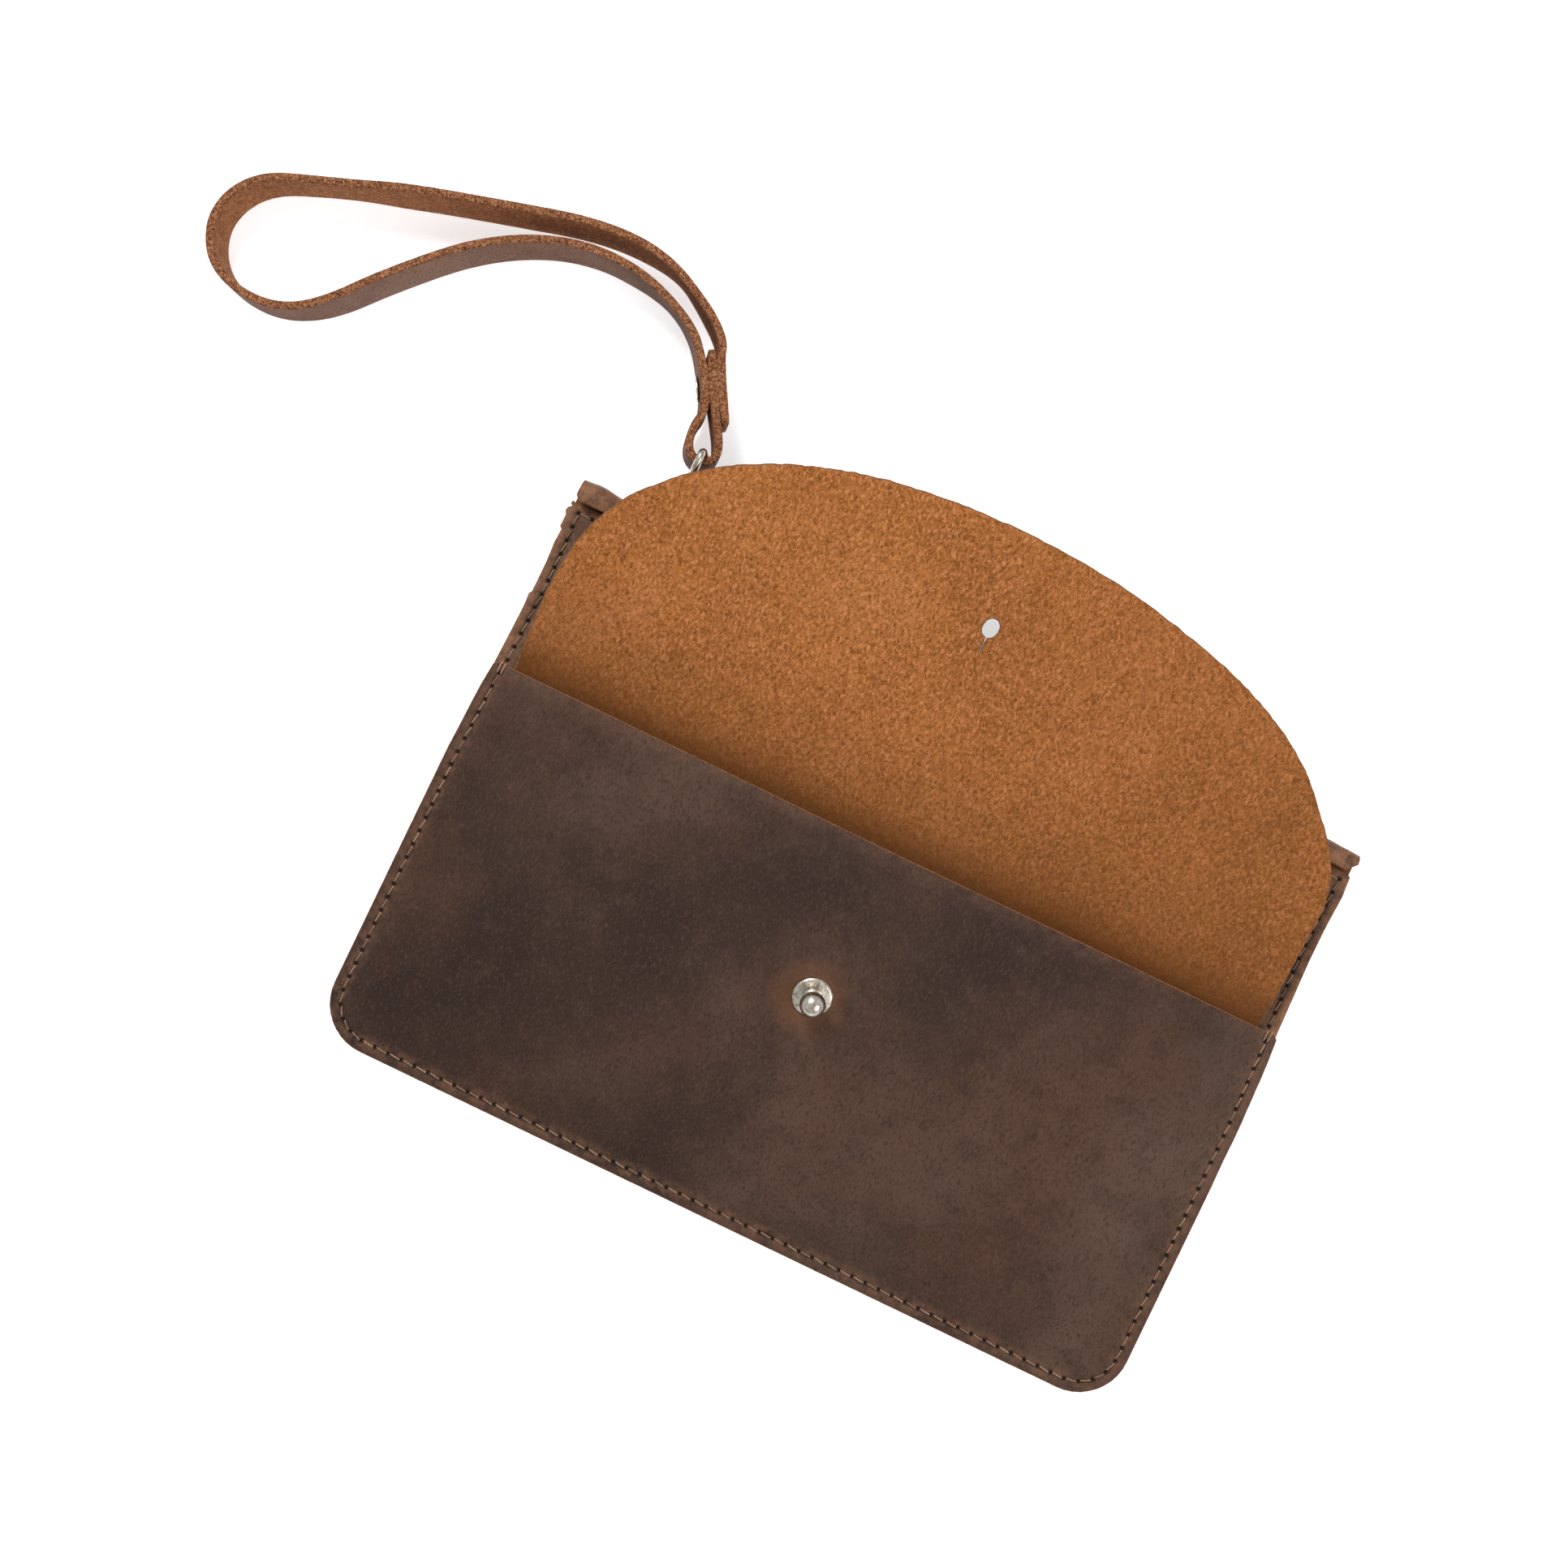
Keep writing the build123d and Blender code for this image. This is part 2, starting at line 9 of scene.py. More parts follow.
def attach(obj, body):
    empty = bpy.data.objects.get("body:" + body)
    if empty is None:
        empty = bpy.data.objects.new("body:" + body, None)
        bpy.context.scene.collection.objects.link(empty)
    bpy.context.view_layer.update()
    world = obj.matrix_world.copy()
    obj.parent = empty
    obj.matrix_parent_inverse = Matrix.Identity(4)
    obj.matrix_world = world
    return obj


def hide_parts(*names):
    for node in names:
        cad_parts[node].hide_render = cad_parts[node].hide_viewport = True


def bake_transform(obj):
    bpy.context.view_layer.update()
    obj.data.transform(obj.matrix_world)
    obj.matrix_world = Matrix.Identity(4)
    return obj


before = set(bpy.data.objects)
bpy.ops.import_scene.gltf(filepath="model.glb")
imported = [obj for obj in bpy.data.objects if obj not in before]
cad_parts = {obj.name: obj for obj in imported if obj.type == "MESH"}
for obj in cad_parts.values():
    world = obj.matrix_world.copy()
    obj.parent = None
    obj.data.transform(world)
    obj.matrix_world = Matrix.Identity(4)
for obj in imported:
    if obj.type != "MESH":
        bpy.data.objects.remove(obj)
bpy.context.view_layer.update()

# A leather wristlet wallet. Lengths are in millimetres and MM turns them into metres.
MM = 0.001
HALF_W = 105.0
BOTTOM, TOP, MOUTH = -73.25, 73.25, 25.25
LEATHER = 1.5
SEAM_X, SEAM_Y = 98.2, -68.45
MIDDLE_Z, LINER_Z, FRONT_Z = 1.54, 3.08, 4.62  # each layer's underside at the seams
CORNER_R = 12.7
ROLL_R, ROLL_EDGE = 3.05, 68.05
ZIP_Y, WINDOW_Y, ZIP_HALF, ZIP_Z = 63.425, 58.8, 84.0, 4.15
FOLD_Y, FLAP_ANGLE = 34.15, math.radians(12.5)
FLAP_HALF = 98.7
STUD_X, STUD_Y, STUD_LEAN = -1.0, -13.8, math.radians(14)
STUD_SIDE = (0.4335, -0.9012)  # the way the stud leans
PITCH, STITCH_IN, THREAD_R = 3.5, 2.7, 0.20
EDGE_Y, EDGE_X = (-14, 0, 15, 30, 45, 55, 62), (105.0, 105.0, 104.5, 104.0, 103.5, 103.6, 104.0)
PIT_LONG, PIT_WIDE, PIT_DEEP = 0.56, 0.50, 0.7  # a stitch hole's half sizes and depth
RIM_IN, RIM_STEP = 0.32, 1.2  # how far the rounding of a cut edge reaches, and its points' spacing
rng = random.Random(11)


def smooth(a, b, x):
    """0 at a, 1 at b, and an even S between them."""
    t = min(1.0, max(0.0, (x - a) / (b - a)))
    return t * t * (3 - 2 * t)


def wave(x, y, size, seed=0.0):
    """Smooth noise from about -1 to 1, with features of that size."""
    return noise.noise(Vector((x / size + seed * 7.13, y / size - seed * 3.7, seed)))


def half_at(y):
    """Half the body's width at that height; it narrows above the pocket's mouth."""
    return float(np.interp(y, EDGE_Y, EDGE_X))


def side_row(y):
    """Where the side stitches run at that height."""
    return half_at(y) - STITCH_IN


# ---- the same resting shape as the CAD part ----
def side_fade(x, power):
    """1 in the middle, falling to 0 at the side seams."""
    return max(0.0, 1 - abs(x / SEAM_X) ** power) ** 1.5


def zip_along(y):
    """How far the zip pocket stands open at that height."""
    if y < 0:
        return max(0.0, 1 - abs(y / SEAM_Y) ** 4) ** 1.2 * 4.6
    return 4.6 - 1.3 * min(1.0, y / WINDOW_Y) ** 4


def zip_rise(x, y):
    """How far the zip pocket lifts the layers above it."""
    return zip_along(y) * side_fade(x, 18)


def front_rise(x, y):
    """How far the front pocket stands open."""
    t = min(1.0, max(0.0, (y - SEAM_Y) / (MOUTH - SEAM_Y)))
    return 5.0 * (1 - (1 - t) ** 2.4) * side_fade(x, 6)


# ---- camera ----
def make_camera():
    """Straight above the wallet, which lies turned in the picture."""
    data = bpy.data.cameras.new("camera")
    data.sensor_width = 36.0
    data.lens = 50.4
    cam = bpy.data.objects.new("camera", data)
    bpy.context.scene.collection.objects.link(cam)
    right, up = Vector((0.9012, 0.4335, 0)), Vector((-0.4335, 0.9012, 0))
    turn = Matrix((right, up, right.cross(up))).transposed()
    cam.matrix_world = Matrix.Translation((-0.0287, 0.0284, 0.530)) @ turn.to_4x4()
    bpy.context.scene.camera = cam


# ---- node trees ----
class Shader:
    """One material's node tree."""

    def __init__(self, name):
        self.mat = bpy.data.materials.new(name)
        self.mat.use_nodes = True
        self.tree = self.mat.node_tree
        self.tree.nodes.clear()
        self.bsdf = self.add("ShaderNodeBsdfPrincipled")
        self.join(self.bsdf.outputs[0], self.add("ShaderNodeOutputMaterial").inputs["Surface"])

    def add(self, kind, **values):
        node = self.tree.nodes.new(kind)
        for key, value in values.items():
            setattr(node, key, value)
        return node

    def join(self, a, b):
        self.tree.links.new(a, b)

    def give(self, name, value):
        """Sets one input of the surface, or joins a socket to it."""
        self.put(self.bsdf.inputs[name], value)

    def put(self, socket, value):
        if isinstance(value, bpy.types.NodeSocket):
            self.join(value, socket)
        else:
            socket.default_value = value

    def rest(self):
        """Where the point lay at rest, in millimetres."""
        return self.add("ShaderNodeAttribute", attribute_name="rest").outputs["Vector"]

    def attribute(self, name):
        return self.add("ShaderNodeAttribute", attribute_name=name).outputs["Fac"]

    def object_mm(self):
        coord = self.add("ShaderNodeTexCoord").outputs["Object"]
        return self.scaled(coord, (1000, 1000, 1000))

    def texture(self, kind, vector, inputs, **values):
        """A node that reads a place."""
        node = self.add(kind, **values)
        self.join(vector, node.inputs["Vector"])
        for name, value in inputs.items():
            node.inputs[name].default_value = value
        return node

    def scaled(self, vector, scale, turn=(0, 0, 0)):
        return self.texture("ShaderNodeMapping", vector, {"Scale": scale, "Rotation": turn}).outputs[0]

    def noise(self, vector, size, detail=4.0, rough=0.6, warp=0.0):
        inputs = {"Scale": 1.0 / size, "Detail": detail, "Roughness": rough, "Distortion": warp}
        return self.texture("ShaderNodeTexNoise", vector, inputs).outputs["Fac"]

    def bands(self, vector, scale, warp):
        inputs = {"Scale": scale, "Distortion": warp}
        kinds = {"wave_type": "BANDS", "bands_direction": "DIAGONAL"}
        return self.texture("ShaderNodeTexWave", vector, inputs, **kinds).outputs["Fac"]

    def ramp(self, fac, *stops):
        node = self.add("ShaderNodeValToRGB")
        self.put(node.inputs["Fac"], fac)
        elements = node.color_ramp.elements
        while len(elements) < len(stops):
            elements.new(0.5)
        for element, (place, value) in zip(elements, stops):
            element.position = place
            element.color = (*value, 1) if isinstance(value, tuple) else (value, value, value, 1)
        return node.outputs["Color"]

    def math(self, operation, a, b):
        node = self.add("ShaderNodeMath", operation=operation)
        self.put(node.inputs[0], a)
        self.put(node.inputs[1], b)
        return node.outputs[0]

    def times(self, a, b):
        return self.math("MULTIPLY", a, b)

    def mix(self, fac, a, b):
        node = self.add("ShaderNodeMix", data_type="RGBA")
        self.put(node.inputs[0], fac)
        self.put(node.inputs[6], (*a, 1) if isinstance(a, tuple) else a)
        self.put(node.inputs[7], (*b, 1) if isinstance(b, tuple) else b)
        return node.outputs[2]

    def bump(self, *heights):
        """Bumps chained together, each (height socket, how deep in millimetres)."""
        normal = self.bsdf.inputs["Normal"]
        for height, depth in reversed(heights):
            node = self.add("ShaderNodeBump")
            node.inputs["Distance"].default_value = depth * MM
            self.join(height, node.inputs["Height"])
            self.join(node.outputs[0], normal)
            normal = node.inputs["Normal"]


def grain(s, p):
    """Fine creased grain: small irregular cells, pulled about by noise."""
    wobble = s.add("ShaderNodeVectorMath", operation="ADD")
    s.join(p, wobble.inputs[0])
    s.join(s.texture("ShaderNodeTexNoise", p, {"Scale": 0.55}).outputs["Color"], wobble.inputs[1])
    scale = {"Scale": 1.0 / 0.85}
    cells = s.texture("ShaderNodeTexVoronoi", wobble.outputs[0], scale, feature="DISTANCE_TO_EDGE")
    return cells.outputs["Distance"]


def grain_colour(s, p, dark, mid, light, warm):
    """Waxed leather: soft clouds of tone, a fine speckled grain and a few scratches."""
    clouds = s.noise(p, 62, 3, 0.5, 0.25)
    base = s.ramp(clouds, (0.34, dark), (0.50, mid), (0.68, light))
    warmth = s.ramp(s.noise(p, 44, 3, 0.5, 0.3), (0.46, 0.0), (0.70, 0.8))
    base = s.mix(warmth, base, warm)
    mottle = s.noise(p, 7.0, 4, 0.62, 0.3)
    base = s.mix(s.ramp(mottle, (0.34, 0.35), (0.50, 0.0)), base, dark)
    base = s.mix(s.ramp(mottle, (0.54, 0.0), (0.72, 0.22)), base, light)
    specks = s.noise(s.scaled(p, (1.0, 0.45, 1.0), (0, 0, 0.5)), 0.50, 3, 0.7, 0.5)
    base = s.mix(s.ramp(specks, (0.36, 0.75), (0.48, 0.0)), base, dark)
    base = s.mix(s.ramp(specks, (0.52, 0.0), (0.66, 0.45)), base, light)
    lines = s.noise(s.scaled(p, (1 / 22, 1 / 0.45, 1), (0, 0, 0.4)), 1.0, 3, 0.6, 0.4)
    lines_b = s.noise(s.scaled(p, (1 / 0.5, 1 / 17, 1), (0, 0, 0.25)), 1.0, 3, 0.6, 0.4)
    sparse = s.ramp(s.noise(p, 19, 2), (0.50, 0.0), (0.66, 0.55))
    thin = s.ramp(lines, (0.66, 0.0), (0.72, 1.0))
    thin_b = s.ramp(lines_b, (0.67, 0.0), (0.73, 1.0))
    base = s.mix(s.times(s.math("MAXIMUM", thin, thin_b), sparse), base, light)
    return base, mottle


def raw_edge(s, p):
    """The cut edge: paler fibres in thin layers."""
    fibres = s.noise(s.scaled(p, (1, 1, 3.2)), 0.8, 4, 0.7)
    dark, mid, pale = (0.085, 0.036, 0.014), (0.24, 0.105, 0.040), (0.36, 0.18, 0.08)
    return s.ramp(fibres, (0.30, dark), (0.55, mid), (0.75, pale))


def suede_colour(s, p, base):
    """The flesh side: short fibres in clumps and a few smudges."""
    deep = tuple(c * 0.34 for c in base)
    pale = tuple(min(1, c * 1.50 + 0.055) for c in base)
    clouds = s.noise(p, 30, 3, 0.5, 0.3)
    colour = s.mix(s.ramp(clouds, (0.36, 0.20), (0.52, 0.0)), base, deep)
    colour = s.mix(s.ramp(clouds, (0.52, 0.0), (0.70, 0.14)), colour, pale)
    nap = s.noise(p, 2.6, 4, 0.7, 0.8)
    colour = s.mix(s.ramp(nap, (0.38, 0.24), (0.49, 0.0)), colour, deep)
    fibre = s.noise(s.scaled(p, (1.0, 0.62, 1.0), (0, 0, 0.6)), 0.66, 4, 0.75, 0.7)
    colour = s.mix(s.ramp(fibre, (0.37, 0.82), (0.49, 0.0)), colour, deep)
    colour = s.mix(s.ramp(fibre, (0.51, 0.0), (0.63, 0.76)), colour, pale)
    smudge = s.ramp(s.noise(p, 10, 3, 0.6, 0.6), (0.62, 0.0), (0.78, 0.45))
    colour = s.mix(smudge, colour, deep)
    return colour, fibre


def near_place(s, p, x, y, reach):
    """1 at a place on the leather, fading unevenly to 0 at that distance."""
    gap = s.add("ShaderNodeVectorMath", operation="DISTANCE")
    s.join(s.scaled(p, (1, 1, 0)), gap.inputs[0])
    gap.inputs[1].default_value = (x, y, 0)
    ragged = s.times(s.noise(p, 6, 3), 0.35)
    uneven = s.math("ADD", s.times(gap.outputs["Value"], 1 / reach), ragged)
    return s.ramp(uneven, (0.45, 1.0), (0.88, 0.0))


def leather_suede(s, p, suede):
    """Flesh side of a panel: darker into the pocket, which is painted shade, and a little darker towards the
    ends.
    """
    flesh, fibre = suede_colour(s, p, suede)
    split = s.add("ShaderNodeSeparateXYZ")
    s.join(p, split.inputs[0])
    # Painted shade: the suede is darkened from y = 62 mm down towards the fold and into the pocket.
    painted_pocket_shade = s.times(s.math("SUBTRACT", 62.0, split.outputs[1]), 1 / 37)
    painted_pocket_shade = s.ramp(painted_pocket_shade, (0.03, 0.0), (0.32, 0.11), (0.54, 0.24), (0.70, 0.34), (0.84, 0.65), (0.95, 0.85))
    flesh = s.mix(painted_pocket_shade, flesh, tuple(c * 0.25 for c in suede))
    across = s.times(s.math("ADD", split.outputs[0], 100.0), 1 / 200)
    ends = s.ramp(across, (0.0, 0.16), (0.15, 0.0), (0.42, 0.0), (0.60, 0.12), (0.82, 0.26))
    return s.mix(ends, flesh, tuple(c * 0.35 for c in suede)), fibre


def leather(name, dark, mid, light, warm, suede, glow=None):
    """Grain outside, raw at the cut edge, and suede where the flesh side shows."""
    s = Shader(name)
    p = s.rest()
    colour, mottle = grain_colour(s, p, dark, mid, light, warm)
    cells = grain(s, p)
    wear = s.times(s.attribute("wear"), s.ramp(s.noise(p, 3.2, 5, 0.7), (0.38, 0.0), (0.60, 1.0)))
    colour = s.mix(wear, colour, (light[0] * 1.45, light[1] * 1.25, light[2] * 1.1))
    if glow:
        near = near_place(s, p, STUD_X - 0.5, STUD_Y - 0.5, 15)
        colour = s.mix(s.times(near, 0.48), colour, glow)
    flesh, fibre = leather_suede(s, p, suede)
    side = s.ramp(s.attribute("side"), (0.55, 0.0), (0.85, 1.0))
    colour = s.mix(side, colour, flesh)
    uneven = s.math("ADD", s.attribute("edge"), s.times(s.math("SUBTRACT", fibre, 0.5), 0.9))
    edge = s.ramp(uneven, (0.42, 0.0), (0.66, 1.0))
    colour = s.mix(edge, colour, raw_edge(s, p))
    # Painted shade: the pit mark turns the stitch holes and their rims nearly black.
    colour = s.mix(s.ramp(s.attribute("pit"), (0.42, 0.0), (0.62, 0.98)), colour, (0.012, 0.007, 0.005))
    s.give("Base Color", colour)
    rough = s.mix(side, s.ramp(mottle, (0.3, 0.62), (0.7, 0.44)), (0.95, 0.95, 0.95))
    s.give("Roughness", s.mix(edge, rough, (0.9, 0.9, 0.9)))
    s.give("Specular IOR Level", 0.14)
    creases = s.ramp(cells, (0.0, 0.0), (0.22, 1.0))
    s.bump((s.noise(p, 6.0, 3, 0.5), 0.22), (creases, 0.035), (fibre, 0.22))
    return s.mat


def metal(name, colour, stain, rough):
    """Worn plated metal: slightly uneven, with tarnish, scratches and dull spots."""
    s = Shader(name)
    p = s.object_mm()
    clouds = s.noise(p, 1.6, 5, 0.65, 0.4)
    s.give("Base Color", s.ramp(clouds, (0.34, stain), (0.58, colour)))
    s.give("Metallic", 1.0)
    scratches = s.noise(s.scaled(p, (4.0, 0.25, 1.0), (0.3, 0.2, 0.6)), 1.0, 3, 0.6)
    s.give("Roughness", s.ramp(scratches, (0.3, rough + 0.22), (0.65, rough)))
    s.bump((scratches, 0.012), (s.noise(p, 0.5, 3), 0.01))
    return s.mat


def woven(name, dark, light):
    """Fine herringbone tape."""
    s = Shader(name)
    p = s.object_mm()
    bands = s.bands(p, 0.75, 0.6)
    fuzz = s.noise(p, 0.25, 3, 0.7)
    tone = s.math("ADD", s.times(bands, 0.6), s.times(fuzz, 0.5))
    s.give("Base Color", s.ramp(tone, (0.3, dark), (0.8, light)))
    s.give("Roughness", 0.9)
    s.bump((tone, 0.09))
    return s.mat


def thread_material():
    """Waxed two-ply thread."""
    s = Shader("waxed_thread")
    p = s.rest()
    twist = s.bands(p, 0.9, 1.2)
    tone = s.math("ADD", s.times(twist, 0.35), s.attribute("shade"))
    dark, mid, pale = (0.075, 0.042, 0.026), (0.24, 0.128, 0.070), (0.40, 0.24, 0.14)
    s.give("Base Color", s.ramp(tone, (0.2, dark), (0.62, mid), (0.95, pale)))
    s.give("Roughness", 0.6)
    s.bump((twist, 0.08))
    return s.mat


def strap_material():
    """Oiled strip: flesh side, grain side and raw edges, told apart by the side attribute."""
    s = Shader("strap_leather")
    p = s.rest()
    flesh, fibre = suede_colour(s, p, (0.290, 0.108, 0.032))
    skin = grain_colour(
        s, p, (0.070, 0.033, 0.020), (0.160, 0.080, 0.052), (0.25, 0.145, 0.105), (0.175, 0.080, 0.046)
    )[0]
    colour = s.mix(s.ramp(s.attribute("side"), (0.40, 0.0), (0.60, 1.0)), skin, flesh)
    edge = s.ramp(s.attribute("edge"), (0.30, 0.0), (0.6, 1.0))
    fibres = s.noise(p, 0.50, 4, 0.85, 0.5)
    dark, mid, pale = (0.032, 0.010, 0.005), (0.208, 0.071, 0.024), (0.46, 0.22, 0.108)
    colour = s.mix(edge, colour, s.ramp(fibres, (0.38, dark), (0.50, mid), (0.62, pale)))
    s.give("Base Color", colour)
    s.give("Roughness", 0.82)
    s.give("Specular IOR Level", 0.2)
    s.bump((s.noise(p, 2.2, 4, 0.6), 0.22), (fibre, 0.16), (fibres, 0.12))
    return s.mat


# ---- meshes ----
def build(name, verts, faces, material, **attributes):
    """A mesh object from points in millimetres, with its resting place stored on every point."""
    mesh = bpy.data.meshes.new(name)
    mesh.from_pydata([(x * MM, y * MM, z * MM) for x, y, z in verts], [], faces)
    mesh.shade_smooth()
    rest = mesh.attributes.new("rest", "FLOAT_VECTOR", "POINT")
    rest.data.foreach_set("vector", np.array(verts, np.float32).ravel())
    for key, values in attributes.items():
        layer = mesh.attributes.new(key, "FLOAT", "POINT")
        layer.data.foreach_set("value", np.array(values, np.float32))
    mesh.materials.append(material)
    obj = bpy.data.objects.new(name, mesh)
    bpy.context.scene.collection.objects.link(obj)
    return obj


def resample(loop, step):
    """Points every step along a closed loop, keeping its shape."""
    made = []
    for a, b in zip(loop, loop[1:] + loop[:1]):
        length = math.dist(a, b)
        count = max(1, round(length / step))
        made += [(a[0] + (b[0] - a[0]) * k / count, a[1] + (b[1] - a[1]) * k / count) for k in range(count)]
    return made


def offset(loop, distance):
    """The loop moved to its right-hand side, which is outwards for a counter-clockwise one."""
    made = []
    count = len(loop)
    for i, (x, y) in enumerate(loop):
        ax, ay = loop[i - 1]
        bx, by = loop[(i + 1) % count]
        dx, dy = bx - ax, by - ay
        size = math.hypot(dx, dy) or 1.0
        made.append((x + dy / size * distance, y - dx / size * distance))
    return made


def arc(cx, cy, r, a0, a1):
    """Eleven points of an arc between two angles in degrees."""
    angles = [math.radians(a0 + (a1 - a0) * k / 10) for k in range(11)]
    return [(cx + r * math.cos(a), cy + r * math.sin(a)) for a in angles]


def inside(points, loop):
    """Which points lie inside a closed loop."""
    x, y = points[:, 0], points[:, 1]
    hit = np.zeros(len(points), bool)
    for (ax, ay), (bx, by) in zip(loop, loop[1:] + loop[:1]):
        if ay == by:
            continue
        crosses = (ay > y) != (by > y)
        hit ^= crosses & (x < (bx - ax) * (y - ay) / (by - ay) + ax)
    return hit


def clear_of(points, others, distance):
    """The points that keep that distance from all the others."""
    others = np.array(others)
    keep = np.ones(len(points), bool)
    for start in range(0, len(others), 64):
        part = others[start:start + 64]
        gap = points[:, None, :] - part[None, :, :]
        keep &= ~((gap ** 2).sum(2) < distance ** 2).any(1)
    return points[keep]


def loose_grid(outline, spacing):
    """Points in a slightly uneven triangular pattern over the outline's box."""
    low, high = np.array(outline).min(0), np.array(outline).max(0)
    grid, row, y = [], 0, low[1]
    while y < high[1]:
        x = low[0] + (row % 2) * spacing / 2
        while x < high[0]:
            grid.append((x + rng.uniform(-0.12, 0.12) * spacing, y + rng.uniform(-0.12, 0.12) * spacing))
            x += spacing
        y += spacing * 0.866
        row += 1
    return np.array(grid)


def pit_rims(pits):
    """Eight points round each stitch hole."""
    made = []
    for x, y, turn in [pit[:3] for pit in pits]:
        c, s = math.cos(turn), math.sin(turn)
        for k in range(8):
            a = math.radians(45 * k)
            u, v = PIT_LONG * math.cos(a), PIT_WIDE * math.sin(a)
            made.append((x + u * c - v * s, y + u * s + v * c))
    return made


def triangulate(outline, loops, spacing, pits):
    """Triangles over the first loop less the others, with points at and round each stitch hole.
    Gives points, triangles, each loop's points, the stitch holes' rims and {middle: side}."""
    flat = [p for loop in loops for p in loop]
    ids, start = [], 0
    for loop in loops:
        ids.append(range(start, start + len(loop)))
        start += len(loop)
    edges = [(a, b) for part in ids for a, b in zip(part, [*part[1:], part[0]])]
    grid = loose_grid(outline, spacing)
    grid = clear_of(grid[inside(grid, loops[0])], flat, 0.72 * spacing)
    for loop in loops[1:]:
        grid = grid[~inside(grid, loop)]
    centres = [pit[:2] for pit in pits]
    if pits:
        grid = clear_of(grid, centres, 1.1)
    rims = pit_rims(pits)
    points = flat + [tuple(p) for p in grid] + rims + centres
    found = geometry.delaunay_2d_cdt([Vector(p) for p in points], edges, [], 1, 1e-4)
    coords, triangles, origins = found[0], found[2], found[3]
    if len(loops) > 1:
        middles = np.array([sum((coords[i] for i in t), Vector((0, 0))) / 3 for t in triangles])
        gone = np.any([inside(middles, loop) for loop in loops[1:]], axis=0)
        triangles = [t for t, g in zip(triangles, gone) if not g]
    where = {j: i for i, sources in enumerate(origins) for j in sources}
    first = len(points) - len(centres)
    rim_points = {where[j] for j in range(first - len(rims), first)}
    holes = {where[first + k]: pit[3] for k, pit in enumerate(pits)}
    return coords, triangles, [[where[j] for j in part] for part in ids], rim_points, holes


class Shell:
    """A growing closed mesh, with the leather's marks on every point."""

    def __init__(self):
        self.verts, self.faces = [], []
        self.marks = {"side": [], "edge": [], "pit": [], "wear": []}

    def add(self, point, *marks):
        """One more point, with its side, edge, pit (painted shade in a stitch hole) and wear."""
        self.verts.append(point)
        for values, mark in zip(self.marks.values(), marks):
            values.append(mark)
        return len(self.verts) - 1

    def close_rim(self, loop, top, bottom, place):
        """The rounded, slightly ragged cut edge between the two faces' borders."""
        rings = [bottom]
        for level, out in ((0.14, 0.75), (0.5, 1.0), (0.86, 0.75)):
            rings.append([
                self.add(
                    place(x + 0.05 * wave(x, y, 0.9, 3), y + 0.05 * wave(x, y, 0.9, 4), LEATHER * level),
                    level, 1.0, 0, 1,
                )
                for x, y in offset(loop, RIM_IN * out)
            ])
        rings.append(top)
        n = len(loop)
        for lower, upper in zip(rings, rings[1:]):
            self.faces += [(lower[i], lower[(i + 1) % n], upper[(i + 1) % n], upper[i]) for i in range(n)]


def panel(name, outline, place, material, spacing, wear, holes=(), pits=(), grain_up=False):
    """One leather piece: a closed shell over a triangulated outline, with soft raw edges.
    place(x, y, h) gives the point at height h in the leather. pits are (x, y, angle, side)."""
    loops = [offset(resample(loop, RIM_STEP), -RIM_IN) for loop in [outline, *holes]]
    coords, triangles, borders, rim_points, sides = triangulate(outline, loops, spacing, pits)
    border = {i for ids in borders for i in ids}
    shell = Shell()
    for level, face in ((1, "top"), (0, "bottom")):
        for i, (x, y) in enumerate(coords):
            sunk = sides.get(i) == face
            h = LEATHER - PIT_DEEP * sunk if level else PIT_DEEP * sunk
            # The pit mark is painted shade: full at each stitch hole's sunk middle, about half on its rim.
            dark = 1.0 if sunk else 0.55 * (i in rim_points)
            shell.add(place(x, y, h), level, 0.34 * (i in border), dark, wear(x, y))
    count = len(coords)
    for a, b, c in triangles:
        if (coords[b] - coords[a]).cross(coords[c] - coords[a]) < 0:
            b, c = c, b
        shell.faces += [(a, b, c), (count + c, count + b, count + a)]
    for loop, ids in zip(loops, borders):
        shell.close_rim(loop, ids, [count + i for i in ids], place)
    if grain_up:
        shell.marks["side"] = [1 - v for v in shell.marks["side"]]
    return build(name, shell.verts, shell.faces, material, **shell.marks)


def ring_faces(n, m, first=0, closed=False, flip=False):
    """The faces that join m rings of n points, capped at both ends unless closed."""
    faces = []
    for k in range(m if closed else m - 1):
        a, b = first + k * n, first + (k + 1) % m * n
        faces += [(a + i, a + (i + 1) % n, b + (i + 1) % n, b + i) for i in range(n)]
    if not closed:
        last = first + (m - 1) * n
        faces += [tuple(reversed(range(first, first + n))), tuple(range(last, last + n))]
    return [face[::-1] for face in faces] if flip else faces


def tube(name, rings, material, closed=False, **attributes):
    """Joins rings of points into one closed surface."""
    verts = [p for ring in rings for p in ring]
    return build(name, verts, ring_faces(len(rings[0]), len(rings), closed=closed), material, **attributes)


def lathe(name, profile, material, segments, place):
    """A turned piece: (radius, height) points from the lower middle round to the upper middle."""
    verts = [(0, 0, profile[0][1])]
    for r, z in profile[1:-1]:
        verts += [
            (r * math.cos(2 * math.pi * k / segments), r * math.sin(2 * math.pi * k / segments), z)
            for k in range(segments)
        ]
    verts.append((0, 0, profile[-1][1]))
    rows = len(profile) - 2
    faces = []
    for k in range(segments):
        j = (k + 1) % segments
        faces.append((0, 1 + j, 1 + k))
        last = 1 + (rows - 1) * segments
        faces.append((len(verts) - 1, last + k, last + j))
        for row in range(rows - 1):
            a = 1 + row * segments
            faces.append((a + k, a + j, a + segments + j, a + segments + k))
    return build(name, [tuple(place @ Vector(v)) for v in verts], faces, material)


